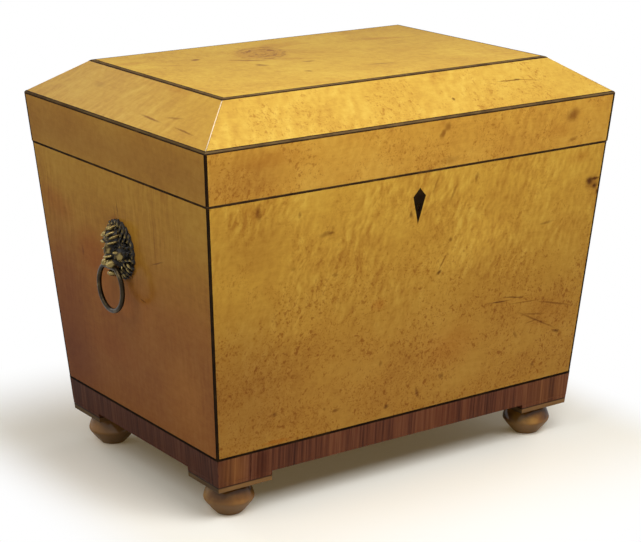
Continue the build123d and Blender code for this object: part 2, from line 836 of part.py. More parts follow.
def build_nodes():
    nodes = {}
    for side, board in case_boards().items():
        nodes["case_board_" + side] = [board]
    nodes["bottom_board"] = [bottom_panel()]
    for side, face in case_veneers().items():
        nodes["case_veneer_" + side] = [face]
    for side, band in base_bands().items():
        nodes["base_band_" + side] = [band]
    pockets = [hinge_pocket(c) for c in hinge_centres()]
    nodes["base_string"] = [base_string()]
    nodes["case_corner_strings"] = case_corner_strings()
    nodes["case_joint_string"] = [cut(strip, *pockets) for strip in case_joint_string().solids()]
    nodes["pad_strips"] = [pad(sx, sy, pad_level, pad_facing_level) for sx, sy in corners.values()]
    nodes["pad_facings"] = [pad(sx, sy, pad_facing_level, band_level) for sx, sy in corners.values()]
    for name, (sx, sy) in corners.items():
        nodes["bun_foot_" + name] = [bun_foot(sx, sy)]
    for name, (kind, board) in dividers().items():
        nodes["divider_" + kind + "_" + name] = [board]
    nodes["escutcheon"] = [escutcheon()]
    nodes["lock_case"] = [lock_case()]
    nodes["lock_bolt"] = [lock_bolt()]
    nodes["case_hardware_screws"] = case_hinge_screws() + lock_screws()
    for name, centre in zip(("left", "right"), hinge_centres()):
        nodes["hinge_case_leaf_" + name] = [hinge_leaf(centre, -1)]
        nodes["hinge_lid_leaf_" + name] = [hinge_leaf(centre, 1)]
    nodes["hinge_pins"] = [hinge_pin(centre) for centre in hinge_centres()]
    mask, ring = lion_mask(), handle_ring()
    nodes["lion_mask_left"] = [mask]
    nodes["lion_mask_right"] = [mirror(mask, about=Plane.YZ)]
    nodes["ring_left"] = [ring]
    nodes["ring_right"] = [mirror(ring, about=Plane.YZ)]
    nodes["mask_screws"] = mask_screws()
    friezes, hips, top = lid_boards()
    for side in sides:
        nodes["lid_frieze_board_" + side] = [friezes[side]]
        nodes["lid_hip_board_" + side] = [hips[side]]
    nodes["lid_top_board"] = [top]
    frieze_veneers, hip_veneers, top_veneer = lid_veneers()
    nodes["lid_frieze_veneers"] = list(frieze_veneers.values())
    nodes["lid_hip_veneers"] = list(hip_veneers.values())
    nodes["lid_top_veneer"] = [top_veneer]
    nodes["lid_arris_string"] = list(arris_string_ring().values())
    nodes["lid_top_string"] = list(top_string_ring().values())
    nodes["lid_corner_strings"] = lid_corner_strings()
    nodes["lid_joint_string"] = [cut(strip, *pockets) for strip in lid_joint_string().solids()]
    nodes["lock_link_plate"] = [link_plate_with_staple()]
    nodes["lid_hardware_screws"] = lid_hinge_screws() + link_screws()
    return nodes


os.makedirs("parts", exist_ok=True)
for name, shapes in build_nodes().items():
    solids = solids_of(shapes)
    shape = solids[0] if len(solids) == 1 else Compound(children=solids)
    export_step(shape, "parts/" + name + ".step")
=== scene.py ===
import json
import math

import bmesh
import bpy
from mathutils import Matrix, Vector


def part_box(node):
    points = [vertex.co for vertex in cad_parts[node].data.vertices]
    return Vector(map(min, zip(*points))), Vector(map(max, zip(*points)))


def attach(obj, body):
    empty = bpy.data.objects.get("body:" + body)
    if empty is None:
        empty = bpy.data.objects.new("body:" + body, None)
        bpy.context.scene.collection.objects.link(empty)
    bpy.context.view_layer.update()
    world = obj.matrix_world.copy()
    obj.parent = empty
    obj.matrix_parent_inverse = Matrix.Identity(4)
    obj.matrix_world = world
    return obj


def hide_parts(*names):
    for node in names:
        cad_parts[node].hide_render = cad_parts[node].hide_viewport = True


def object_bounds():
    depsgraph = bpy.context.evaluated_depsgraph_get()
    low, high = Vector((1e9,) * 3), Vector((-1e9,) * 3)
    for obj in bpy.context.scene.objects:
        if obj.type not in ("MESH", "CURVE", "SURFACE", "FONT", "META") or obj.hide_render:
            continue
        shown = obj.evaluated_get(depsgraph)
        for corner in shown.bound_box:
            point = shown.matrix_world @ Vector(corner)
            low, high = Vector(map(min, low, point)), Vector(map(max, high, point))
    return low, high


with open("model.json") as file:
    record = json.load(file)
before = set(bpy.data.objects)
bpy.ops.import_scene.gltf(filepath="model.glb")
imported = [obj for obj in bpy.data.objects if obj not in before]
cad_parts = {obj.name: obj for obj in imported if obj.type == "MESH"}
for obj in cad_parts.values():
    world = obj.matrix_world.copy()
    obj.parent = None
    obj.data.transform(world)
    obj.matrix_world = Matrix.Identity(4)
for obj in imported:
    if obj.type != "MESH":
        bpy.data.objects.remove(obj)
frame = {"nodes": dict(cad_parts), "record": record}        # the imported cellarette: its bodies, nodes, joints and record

# A Regency cellarette in golden maple with ebony strings. Metres, +Z up, the front faces -Y.

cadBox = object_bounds()
cadNodes = frame["nodes"]
bodyOf = {node: body for body, names in frame["record"]["behaviour"]["bodies"].items() for node in names}
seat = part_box("pad_strips")[0].z     # the top of the feet, from which heights on the wood are counted


# Node helpers. The tree that is being built lies on the bench

bench = {"tree": None}


def plugIn(socket, value):
    if isinstance(value, bpy.types.NodeSocket):
        bench["tree"].links.new(value, socket)
    else:
        socket.default_value = value


def addNode(kind, inputs=None, **settings):
    made = bench["tree"].nodes.new(kind)
    for name, value in settings.items():
        setattr(made, name, value)
    for name, value in (inputs or {}).items():
        plugIn(made.inputs[name], value)
    return made


def calc(operation, *values):
    return addNode("ShaderNodeMath", dict(enumerate(values)), operation=operation).outputs[0]


def times(first, second):
    return calc("MULTIPLY", first, second)


def timesPlus(first, second, third):
    return calc("MULTIPLY_ADD", first, second, third)


def centred(value):
    return calc("SUBTRACT", value, 0.5)


def vectorCalc(operation, *values):
    made = addNode("ShaderNodeVectorMath", dict(enumerate(values)), operation=operation)
    return made.outputs["Value" if operation in ("DOT_PRODUCT", "LENGTH") else "Vector"]


def vectorOf(*parts):
    return addNode("ShaderNodeCombineXYZ", dict(enumerate(parts))).outputs[0]


def partsOf(vector):
    return addNode("ShaderNodeSeparateXYZ", {0: vector}).outputs


def softStep(value, start, end, low=0.0, high=1.0):
    inputs = {"Value": value, "From Min": start, "From Max": end, "To Min": low, "To Max": high}
    return addNode("ShaderNodeMapRange", inputs, interpolation_type="SMOOTHSTEP").outputs[0]


def mixColour(factor, first, second, blend="MIX"):
    inputs = {0: factor, 6: first, 7: second}
    return addNode("ShaderNodeMix", inputs, data_type="RGBA", blend_type=blend).outputs[2]


def tinted(wood, tone, share=1.0):
    return mixColour(share, wood, (*tone, 1), "MULTIPLY")


def colourRamp(factor, stops):
    made = addNode("ShaderNodeValToRGB", {0: factor})
    elements = made.color_ramp.elements
    while len(elements) < len(stops):
        elements.new(0.5)
    for element, (place, colour) in zip(elements, stops):
        element.position = place
        element.color = (*colour, 1)
    return made.outputs[0]


# A pattern's space, placed and turned, in which one unit is the size that is given
def placed(vector, place, turn, size):
    inputs = {"Vector": vector, "Location": place, "Rotation": turn, "Scale": size}
    return addNode("ShaderNodeMapping", inputs, vector_type="TEXTURE").outputs[0]


def stretched(vector, scale, turn=0.0, shift=(0, 0, 0)):
    return placed(vector, shift, (0, 0, turn), tuple(1 / part for part in scale))


def noiseAt(vector, scale=1.0, detail=2.0, roughness=0.5, output="Fac"):
    inputs = {"Vector": vector, "Scale": scale, "Detail": detail, "Roughness": roughness}
    return addNode("ShaderNodeTexNoise", inputs).outputs[output]


def jitterAt(vector, scale):
    return vectorCalc("SUBTRACT", noiseAt(vector, scale, output="Color"), (0.5, 0.5, 0.5))


def objectPlace():
    return addNode("ShaderNodeTexCoord").outputs["Object"]


def attributeOf(name):
    return addNode("ShaderNodeAttribute", attribute_name=name).outputs["Fac"]


def startMaterial(name):
    made = bpy.data.materials.new(name)
    made.use_nodes = True
    bench["tree"] = made.node_tree
    bench["tree"].nodes.clear()
    shader = addNode("ShaderNodeBsdfPrincipled")
    plugIn(addNode("ShaderNodeOutputMaterial").inputs[0], shader.outputs[0])
    return made, shader


# The colour, how a pattern changes the roughness, and the relief with its depth in metres and its strength
def surface(shader, colour, pattern, reach, relief, depth, strength=0.3, levels=(0.3, 0.7)):
    bump = addNode("ShaderNodeBump", {"Height": relief, "Distance": depth, "Strength": strength})
    plugIn(shader.inputs["Base Color"], colour)
    plugIn(shader.inputs["Roughness"], softStep(pattern, *levels, *reach))
    plugIn(shader.inputs["Normal"], bump.outputs[0])


# A thin even polish: the wood itself stays matt and the coat gives the gloss
def frenchPolish(shader, weight=0.16, roughness=0.2):
    shader.inputs["Specular IOR Level"].default_value = 0.0
    shader.inputs["Coat Weight"].default_value = weight
    shader.inputs["Coat Roughness"].default_value = roughness


# Grain coordinates in metres: along the board, across it, and a slice that differs from face to face
def makeGrainSpace():
    tree = bpy.data.node_groups.new("grainSpace", "ShaderNodeTree")
    bench["tree"] = tree
    tree.interface.new_socket("Vector", in_out="OUTPUT", socket_type="NodeSocketVector")
    tree.interface.new_socket("End", in_out="OUTPUT", socket_type="NodeSocketFloat")
    source = addNode("ShaderNodeTexCoord")
    normal, place = source.outputs["Normal"], source.outputs["Object"]
    facing = [calc("ABSOLUTE", part) for part in partsOf(normal)[:2]]
    isEnd = calc("GREATER_THAN", *facing)
    along = vectorOf(calc("SUBTRACT", 1.0, isEnd), isEnd)
    across = vectorCalc("CROSS_PRODUCT", normal, along)
    output = addNode("NodeGroupOutput")
    plugIn(output.inputs[0], vectorOf(vectorCalc("DOT_PRODUCT", place, along),
                                      vectorCalc("DOT_PRODUCT", place, across),
                                      vectorCalc("DOT_PRODUCT", normal, (0.31, 0.53, 0.17))))
    plugIn(output.inputs[1], isEnd)
    return tree


grainSpace = makeGrainSpace()


def grainCoordinates():
    return addNode("ShaderNodeGroup", node_tree=grainSpace).outputs[0]


# 1 on the two ends of the case, 0 on its other faces
def isEndFace():
    return addNode("ShaderNodeGroup", node_tree=grainSpace).outputs[1]


# A place with ragged edges, so that a mark laid there doesn't look sprayed
def raggedPlace(coarse=0.004, fine=0.0009):
    place = objectPlace()
    for scale, reach in ((150.0, coarse), (520.0, fine)):
        place = vectorCalc("ADD", place, vectorCalc("MULTIPLY", jitterAt(place, scale), (reach,) * 3))
    return place


markTones = {
    "knot": (0.30, 0.20, 0.20),
    "brown": (0.46, 0.33, 0.28),
    "red": (0.86, 0.60, 0.50),
    "orange": (0.96, 0.70, 0.48),
    "grey": (0.62, 0.55, 0.55),
    "warm": (0.82, 0.68, 0.60),
    "pale": (1.14, 1.18, 1.22),
    "tan": (1.45, 1.62, 1.05),
    "ruddy": (0.74, 0.60, 0.61),
    "honey": (1.20, 1.26, 1.12),
    # painted shade: a broad darkening laid where a face lies in shade
    "paintedShade": (0.80, 0.74, 0.78),
}
finestSmear = 2.0        # marks of a smaller half height, in millimetres, keep cleaner edges
markAxes = {"front": (0, 2, 1, -1), "end": (1, 2, 0, -1), "top": (0, 1, 2, 1)}       # along, up, off, turning


# Marks by tone, in millimetres on one face: along, up, half length, half height, turn in degrees, strength
def laidMarks(wood, marks, face):
    if not marks:
        return wood
    ragged, smoother = raggedPlace(), raggedPlace(0.0014, 0.0003)
    alongAxis, upAxis, offAxis, turning = markAxes[face]
    lift = 0 if face == "top" else seat * 1000
    for tone, group in marks.items():
        for along, up, length, height, turn, strength in group:
            at, size, turned = [0.0] * 3, [9.999] * 3, [0.0] * 3
            at[alongAxis], at[upAxis] = along * 0.001, (up + lift) * 0.001
            size[alongAxis], size[upAxis] = length * 0.001, height * 0.001
            turned[offAxis] = math.radians(turn) * turning
            local = placed(smoother if height < finestSmear else ragged, at, turned, size)
            factor = softStep(vectorCalc("LENGTH", local), 1.0, 0.15, 0.0, strength)
            wood = tinted(wood, markTones[tone], factor)
    return wood


mapleLook = {
    "stops": [(0.22, (0.50, 0.225, 0.035)), (0.50, (0.65, 0.345, 0.056)), (0.78, (0.76, 0.45, 0.088))],
    "cloudScale": 11.0,
    "cloudShare": 0.6,
    "grainScale": (16.0, 460.0, 30.0),
    "grainShare": 0.20,
    "mottleScale": 120.0,
    "mottleShare": 0.44,
    "rippleScale": (128.0, 58.0, 30.0),
    "rippleSlant": math.radians(-18),
    "endRippleScale": (150.0, 17.0, 30.0),
    "endRippleSlant": math.radians(-3),
    "hipRippleScale": (80.0, 30.0, 30.0),
    "hipRippleSlant": math.radians(-26),
    "rippleEdge": 0.62,      # how much the two sides of a wave differ
    "rippleDepth": 0.80,
    "flockScale": (20.0, 20.0, 9.0),
    "flockStep": (0.43, 0.74),
    "fleckTone": (0.66, 0.50, 0.44),
    "haloTone": (0.92, 0.82, 0.74),
    "haloShare": 0.55,
    "fleckKinds": (((250.0, 200.0, 60.0), 0.61, 0.77, 1.0), ((430.0, 340.0, 90.0), 0.59, 0.75, 0.75)),
    "endFlecks": 0.3,        # how many of the eyes the two ends keep
    "curlScale": 230.0,
    "bend": 0.012,
    "bumpDepth": 0.00012,
}


# Ripple: the sides of each soft wave catch the light unlike each other
def rippleOf(look, grain, bent, rise, ripple, strokeKind, kept):
    strokes = stretched(bent, look[strokeKind + "Scale"], look[strokeKind + "Slant"])
    waves = noiseAt(strokes)
    beside = noiseAt(vectorCalc("ADD", strokes, (0.34, 0.0, 0.0)))
    area = softStep(noiseAt(grain, 9.0, 1.0), 0.36, 0.60, 0.15, 1.0)
    if strokeKind == "ripple":
        area = times(area, kept)
    depth = timesPlus(calc("SUBTRACT", waves, beside), look["rippleEdge"],
                      times(centred(waves), look["rippleDepth"]))
    return waves, times(depth, times(area, softStep(rise, 0.0, 1.0, *ripple)))


# Eyes: soft brown flecks in flocks, each flock on a redder ground
def eyesOf(look, wood, grain, bent, rise, flecks, kept):
    flock = noiseAt(stretched(grain, look["flockScale"], shift=(0.3, 0.5, 0.1)), 1.0, 3.0, 0.6)
    many = softStep(rise, 0.0, 1.0, *flecks)
    flock = softStep(timesPlus(many, 0.18, flock), *look["flockStep"])
    many = times(many, kept)
    wood = tinted(wood, look["haloTone"], times(flock, times(many, look["haloShare"])))
    mask = 0.0
    for scale, start, end, weight in look["fleckKinds"]:
        spots = noiseAt(stretched(bent, scale, look["rippleSlant"]), 1.0, 1.5)
        dots = softStep(timesPlus(flock, 0.05, spots), start, end, 0.0, weight)
        mask = calc("MAXIMUM", times(dots, softStep(flock, 0.0, 0.6, 0.12, 1.0)), mask)
    level = noiseAt(bent, look["curlScale"], 1.0)
    curls = softStep(calc("ABSOLUTE", centred(level)), 0.034, 0.006, 0.0, 0.62)
    broken = softStep(noiseAt(grain, 130.0), 0.50, 0.60)
    curls = times(times(curls, broken), softStep(flock, 0.0, 0.7, 0.3, 1.0))
    mask = times(calc("MAXIMUM", mask, curls), softStep(many, 0.0, 0.5))
    return mask, tinted(wood, look["fleckTone"], mask)


# Each face has its tones from its foot to its top, on the case's sides a tint with painted shade towards the
# foot, and so much ripple and so many eyes below and above
def mapleVeneer(name, tones, levels=(0.042, 0.330), ripple=(0.5, 0.5), flecks=(0.5, 0.5), marks=None,
                face="front", mitreHighlight=None, strokeKind="ripple", paintedEndShade=None, swirl=None):
    look = mapleLook
    made, shader = startMaterial(name)
    grain, place = grainCoordinates(), objectPlace()
    rise = softStep(partsOf(place)[2], seat + levels[0], seat + levels[1])
    kept = softStep(isEndFace(), 0.0, 1.0, 1.0, look["endFlecks"])
    sway = vectorCalc("MULTIPLY", jitterAt(grain, 26.0), (look["bend"], look["bend"], 0.0))
    bent = vectorCalc("ADD", grain, sway)
    clouds = noiseAt(grain, look["cloudScale"], 4.0, 0.55)
    lines = noiseAt(stretched(bent, look["grainScale"]), 1.0, 3.0, 0.6)
    waves, waveDepth = rippleOf(look, grain, bent, rise, ripple, strokeKind, kept)
    figure = calc("ADD", waveDepth, timesPlus(clouds, look["cloudShare"], 0.5 - look["cloudShare"] / 2))
    figure = timesPlus(centred(lines), look["grainShare"], figure)
    mottle = noiseAt(bent, look["mottleScale"], 3.0, 0.6)
    figure = timesPlus(centred(mottle), look["mottleShare"], figure)
    eyes, wood = eyesOf(look, colourRamp(figure, look["stops"]), grain, bent, rise, flecks, kept)
    wood = laidMarks(mixColour(1.0, wood, colourRamp(rise, tones), "MULTIPLY"), marks, face)
    if swirl is not None:
        wood = swirledGrain(wood, swirl)
    # painted shade: the two ends are drawn darker than the front and back
    if paintedEndShade is not None:
        wood = tinted(wood, paintedEndShade, isEndFace())
    if mitreHighlight is not None:
        wood = paintedMitreHighlight(place, grain, wood, mitreHighlight)
    relief = timesPlus(eyes, -0.6, timesPlus(waves, 0.6, lines))
    surface(shader, wood, noiseAt(grain, 35.0, 3.0), (0.30, 0.42), relief, look["bumpDepth"], 0.35)
    frenchPolish(shader)
    return made


# Grain that runs in rings round a knot, on the top of the lid
def swirledGrain(wood, swirl):
    local = placed(raggedPlace(0.016, 0.002), swirl["place"], (0, 0, swirl["turn"]), swirl["size"])
    away = vectorCalc("LENGTH", local)
    lines = softStep(noiseAt(vectorOf(times(away, swirl["rings"]), 0.4), 1.0, 2.0, 0.6), 0.44, 0.60)
    broken = softStep(noiseAt(local, 2.2), 0.36, 0.56, 0.2, 1.0)
    ground = softStep(away, 1.0, 0.45)
    wood = tinted(wood, markTones["warm"], times(ground, swirl["ground"]))
    return tinted(wood, markTones["brown"], times(times(lines, broken), times(ground, swirl["strength"])))


# The veneer is rubbed pale where two hips meet, with a painted highlight along that line, beside a painted
# shadow
def paintedMitreHighlight(place, grain, wood, mitre):
    width = mitre["width"]
    x, y = (calc("ABSOLUTE", part) for part in partsOf(place)[:2])
    away = calc("SUBTRACT", calc("SUBTRACT", x, y), mitre["offset"])
    away = timesPlus(centred(noiseAt(place, 260.0)), mitre["jag"], away)
    rubbedAndSheen = softStep(noiseAt(grain, 60.0), 0.35, 0.55, 0.35, 1.0)
    # painted shadow: a broken dark line beside the pale one
    beside = calc("ABSOLUTE", calc("ADD", away, width))
    seamAndShadow = times(softStep(beside, width, width * 0.3, 0.0, 0.8), softStep(noiseAt(grain, 85.0), 0.42, 0.58))
    wood = tinted(wood, mitre["shadowTone"], seamAndShadow)
    # painted highlight, partly rubbed wear: the pale line along the mitre
    line = softStep(calc("ABSOLUTE", away), width, width * 0.4)
    return mixColour(times(line, rubbedAndSheen), wood, (*mitre["tone"], 1))


rosewoodLook = {
    "stops": [(0.36, (0.052, 0.016, 0.010)), (0.52, (0.170, 0.052, 0.022)), (0.70, (0.285, 0.105, 0.042))],
    "streakScale": (330.0, 7.0, 20.0),
    "streakShare": 0.62,
    "boardScale": (17.0, 1.0, 9.0),
    "boardShare": 0.42,
    # painted shade on the two ends
    "paintedEndShade": (0.78, 0.78, 0.92),
}


# Cross-banded, so the grain stands upright
def rosewoodBanding(name, marks):
    look = rosewoodLook
    made, shader = startMaterial(name)
    grain = grainCoordinates()
    streaks = noiseAt(stretched(grain, look["streakScale"]), 1.0, 5.0, 0.65)
    boards = noiseAt(stretched(grain, look["boardScale"]), 1.0, 3.0, 0.6)
    figure = timesPlus(streaks, look["streakShare"], times(boards, look["boardShare"]))
    wood = colourRamp(figure, look["stops"])
    wood = mixColour(isEndFace(), laidMarks(wood, marks, "front"), tinted(wood, look["paintedEndShade"]))
    surface(shader, wood, streaks, (0.42, 0.28), streaks, 0.00015)
    frenchPolish(shader)
    return made


# Straight-grained wood: its two tones, and how smooth it is at its smoothest
def plainWood(name, dark, light, grainScale, gloss, depth=0.0002, seamAndShadow=None, paintedEndShade=None):
    made, shader = startMaterial(name)
    grain = grainCoordinates()
    lines = noiseAt(stretched(grain, grainScale), 1.0, 4.0, 0.6)
    clouds = noiseAt(grain, 14.0, 3.0)
    wood = colourRamp(timesPlus(lines, 0.6, times(clouds, 0.4)), [(0.32, dark), (0.68, light)])
    if seamAndShadow is not None:
        wood = tinted(wood, (0.22, 0.15, 0.14), softStep(partsOf(objectPlace())[2], *seamAndShadow))
    # painted shade: the two ends are drawn darker
    if paintedEndShade is not None:
        wood = tinted(wood, paintedEndShade, isEndFace())
    surface(shader, wood, clouds, (gloss, gloss + 0.1), lines, depth, 0.4)
    frenchPolish(shader, 0.25, 0.28)
    return made


turningLook = {
    "stops": [(0.34, (0.112, 0.038, 0.007)), (0.50, (0.27, 0.108, 0.016)), (0.68, (0.58, 0.30, 0.055))],
    "cloudScale": 30.0,
    "ringScale": (30.0, 30.0, 260.0),
    "ringShare": 0.12,
    "coat": 0.38,
    "coatIndex": 1.6,
    "coatRoughness": 0.08,
    "paintedLightTone": (0.63, 0.305, 0.084),
    "paintedLightUpTo": 0.0225,
    "paintedLightBelow": 0.66,       # share of the painted light by the floor, where the foot turns down into shade
    "paintedLightBehind": 0.60,      # and on the back feet, which stand in shade under the case
}


# Lathe-turned wood under thick polish, lighter in patches at random, with painted light on the lower half of
# each foot and on the back feet
def glossyTurning(name):
    look = turningLook
    made, shader = startMaterial(name)
    place = objectPlace()
    clouds = noiseAt(place, look["cloudScale"], 3.0)
    rings = noiseAt(stretched(place, look["ringScale"]), 1.0, 3.0, 0.6)
    wood = colourRamp(timesPlus(centred(rings), look["ringShare"], clouds), look["stops"])
    parts = partsOf(place)
    # painted light: the lower half of each foot and the back feet are mixed towards a paler tone
    below = softStep(parts[2], look["paintedLightUpTo"], look["paintedLightUpTo"] * 0.6, 0.0, look["paintedLightBelow"])
    litBehind = softStep(parts[1], -0.1, 0.1, 0.0, look["paintedLightBehind"])
    wood = mixColour(calc("MAXIMUM", below, litBehind), wood, (*look["paintedLightTone"], 1))
    plugIn(shader.inputs["Base Color"], wood)
    shader.inputs["Roughness"].default_value = 0.5
    frenchPolish(shader, look["coat"], look["coatRoughness"])
    shader.inputs["Coat IOR"].default_value = look["coatIndex"]
    return made


ebonyLook = {
    "stops": [(0.35, (0.013, 0.007, 0.004)), (0.60, (0.026, 0.013, 0.005)), (0.78, (0.052, 0.027, 0.010))],
    "rubbedAndLitTone": (0.150, 0.096, 0.038),     # where an arris has lost its stain, and painted highlight along it
}


# A string is rubbed light along its rounded arris, with a painted highlight there, where its piece says so in
# "wearAndSheen"; a lift above 1 paints the whole string lighter
def ebonyString(name, lift=1.0):
    look = ebonyLook
    made, shader = startMaterial(name)
    place = objectPlace()
    pores = noiseAt(place, 900.0, 3.0)
    rubbedAndSheen = noiseAt(place, 70.0, 3.0)
    stops = [(at, tuple(part * lift for part in tone)) for at, tone in look["stops"]]
    wearAndSheen = times(attributeOf("wearAndSheen"), softStep(noiseAt(place, 45.0, 3.0), 0.30, 0.62, 0.35, 1.0))
    wood = mixColour(wearAndSheen, colourRamp(rubbedAndSheen, stops), (*look["rubbedAndLitTone"], 1))
    surface(shader, wood, rubbedAndSheen, (0.30, 0.45), pores, 0.00005, 0.4)
    frenchPolish(shader, 0.03, 0.3)
    return made


# Each kind of brass: its tones from stained to clean, how rough it is from one to the other, and its relief
brassLooks = {
    "brass": {"stains": 120.0, "brushed": (60.0, 1500.0, 1500.0), "depth": 0.00004, "metallic": 1.0,
              "roughness": (0.48, 0.30),
              "stops": [(0.34, (0.20, 0.12, 0.045)), (0.50, (0.50, 0.35, 0.13)), (0.66, (0.66, 0.50, 0.22))]},
    "giltBrass": {"stains": 160.0, "grit": 700.0, "depth": 0.0001, "metallic": 1.0, "roughness": (0.46, 0.30),
                  "stops": [(0.36, (0.075, 0.045, 0.022)), (0.55, (0.24, 0.15, 0.06)),
                            (0.72, (0.50, 0.36, 0.16))]},
    "ringBrass": {"stains": 130.0, "grit": 600.0, "depth": 0.00008, "metallic": 0.9,
                  "roughness": (0.42, 0.27),
                  "stops": [(0.38, (0.017, 0.012, 0.007)), (0.56, (0.038, 0.027, 0.013)),
                            (0.74, (0.115, 0.084, 0.034))]},
}


def stainedBrass(name):
    look = brassLooks[name]
    made, shader = startMaterial(name)
    place = objectPlace()
    stains = noiseAt(place, look["stains"], 4.0, 0.6)
    if "brushed" in look:
        relief = noiseAt(stretched(place, look["brushed"]))
    else:
        relief = noiseAt(place, look["grit"], 3.0)
    shader.inputs["Metallic"].default_value = look["metallic"]
    surface(shader, colourRamp(stains, look["stops"]), stains, look["roughness"], relief, look["depth"])
    return made


# Old gilding left in the hollows' shade, rubbed to yellow metal on what stands out
def castLionBrass(name):
    made, shader = startMaterial(name)
    place = objectPlace()
    rubbedAndSheen = timesPlus(centred(noiseAt(place, 190.0, 4.0, 0.6)), 0.75, attributeOf("wearAndSheen"))
    metal = colourRamp(rubbedAndSheen, [(0.20, (0.008, 0.006, 0.005)), (0.50, (0.028, 0.020, 0.011)),
                                (0.72, (0.060, 0.042, 0.018)), (0.92, (0.21, 0.155, 0.058))])
    plugIn(shader.inputs["Metallic"], softStep(rubbedAndSheen, 0.25, 0.75, 0.3, 1.0))
    surface(shader, metal, rubbedAndSheen, (0.55, 0.30), noiseAt(place, 900.0, 3.0), 0.00012, 0.35, (0.3, 0.8))
    return made


print("materials")
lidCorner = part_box("lid_arris_string")[1]
# the pale line on the hip mitres is painted highlight and rubbed wear; its shadow tone is a painted shadow
mitreHighlight = {"offset": lidCorner.x - lidCorner.y, "width": 0.0009, "jag": 0.0022, "tone": (0.90, 0.76, 0.56),
             "shadowTone": (0.42, 0.46, 0.62)}
frontMarks = {
    "brown": [(-212, 314, 5, 12, 8, 0.8), (-160, 305, 3, 5, 0, 0.7), (-118, 278, 6, 2, 0, 0.7),
        (-165, 245, 4, 4, 0, 0.5), (-109, 229, 5, 4, 0, 0.5), (22, 312, 2.5, 14, -20, 0.6),
        (48, 299, 3, 16, -22, 0.6), (80, 313, 3.5, 9, -8, 0.8), (49, 244, 3.5, 4, 0, 0.8),
        (40, 219, 15, 1.8, 60, 0.8), (258, 282, 15, 13, 0, 0.7), (190, 120, 46, 1.8, -27, 0.8),
        (216, 137, 38, 1.8, -15, 0.8), (170, 147, 34, 1.0, -3, 0.7), (184, 129, 26, 1.6, -10, 0.6),
        (182, 120, 14, 1.4, 8, 0.6), (158, 108, 3, 7, 30, 0.6), (50, 77, 5, 5, 0, 0.8),
        (16, 63, 3, 12, 20, 0.8), (190, 63, 4, 4, 0, 0.8), (-39, 111, 4, 4, 0, 0.6), (-99, 66, 6, 3, 0, 0.8),
        (-114, 71, 3, 3, 0, 0.6), (-181, 79, 5, 4, 0, 0.7)],
    "knot": [(-10, 283, 3, 7, 0, 0.8), (35, 207, 5, 3.5, 40, 1.0), (253, 284, 7, 7, 0, 1.0),
        (262, 277, 6, 5, 0, 1.0), (268, 270, 4, 6, 0, 1.0), (262, 286, 11, 2.4, 0, 1.0),
        (129, 154, 22, 1.3, -3, 1.0), (151, 156, 24, 1.2, -10, 0.9), (223, 100, 9, 3.0, -12, 0.8),
        (-28, 55, 5, 4, 0, 0.8)],
    "warm": [(-222, 317, 22, 9, 0, 0.5), (235, 316, 26, 12, 0, 0.6), (205, 129, 60, 34, -10, 0.45)],
    "pale": [(100, 249, 60, 26, 0, 0.7), (-150, 175, 90, 22, 0, 0.4), (75, 226, 90, 22, 8, 0.5)],
    "grey": [(-124, 278, 13, 4, 2, 0.9), (191, 242, 14, 2.6, 4, 0.9)],
    "red": [(-48, 183, 14, 10, 0, 0.5), (60, 114, 60, 36, 10, 0.35)],
    # painted shade over the left of the front
    "paintedShade": [(-230, 110, 110, 130, 0, 0.9), (-230, 290, 90, 60, 0, 0.5)],
    "orange": [(-176, 46, 26, 3.5, 0, 0.8)],
}
friezeMarks = {
    "brown": [(217, 369, 13, 11, 20, 0.9), (220, 339, 10, 4, 10, 0.7), (27, 371, 9, 5, 60, 0.9),
        (33, 378, 5, 7, 0, 0.7), (39, 339, 20, 6, 0, 0.4)],
    "warm": [(200, 352, 26, 12, 0, 0.4), (-200, 372, 60, 14, 4, 0.6)],
    # painted shade at the left of the frieze
    "paintedShade": [(-235, 358, 90, 44, 0, 0.8)],
}
leftMarks = {
    "red": [(70, 222, 60, 42, 0, 0.8), (20, 179, 90, 60, 0, 0.45), (10, 269, 12, 16, 0, 0.7),
        (50, 114, 90, 30, 0, 0.35), (150, 264, 60, 26, -12, 0.6)],
    "brown": [(96, 218, 3, 9, 0, 0.6), (-79, 243, 20, 1.3, 19, 0.8), (1, 289, 1.2, 14, 0, 0.7),
        (8, 282, 1.2, 12, 4, 0.6)],
    "knot": [(-28, 233, 3, 5, 30, 0.8), (-38, 190, 9, 1.2, -8, 0.9)],
    "ruddy": [(150, 150, 80, 150, 0, 0.9), (140, 60, 100, 80, 0, 0.7)],
    "honey": [(-120, 90, 80, 70, 0, 0.9)],
}
hipMarks = {
    "brown": [(170, -170, 30, 0.8, -8, 0.8), (-264, -66, 30, 1.8, 88, 1.0), (-266, -138, 28, 1.4, 87, 0.9),
        (-256, -103, 20, 1.9, 98, 0.6), (-246, 77, 5, 16, 0, 0.25)],
    "knot": [(146, -168, 22, 1.1, -2, 0.9), (158, -168, 7, 1.8, -4, 0.9), (55, -181, 3, 2, 0, 0.9)],
    "warm": [(-227, -55, 34, 5, 88, 0.6)],
}
topSwirl = {"place": (-0.040, 0.064, 0.0), "turn": math.radians(-36), "size": (0.040, 0.056, 9.0),
            "rings": 7.5, "ground": 0.8, "strength": 0.85}
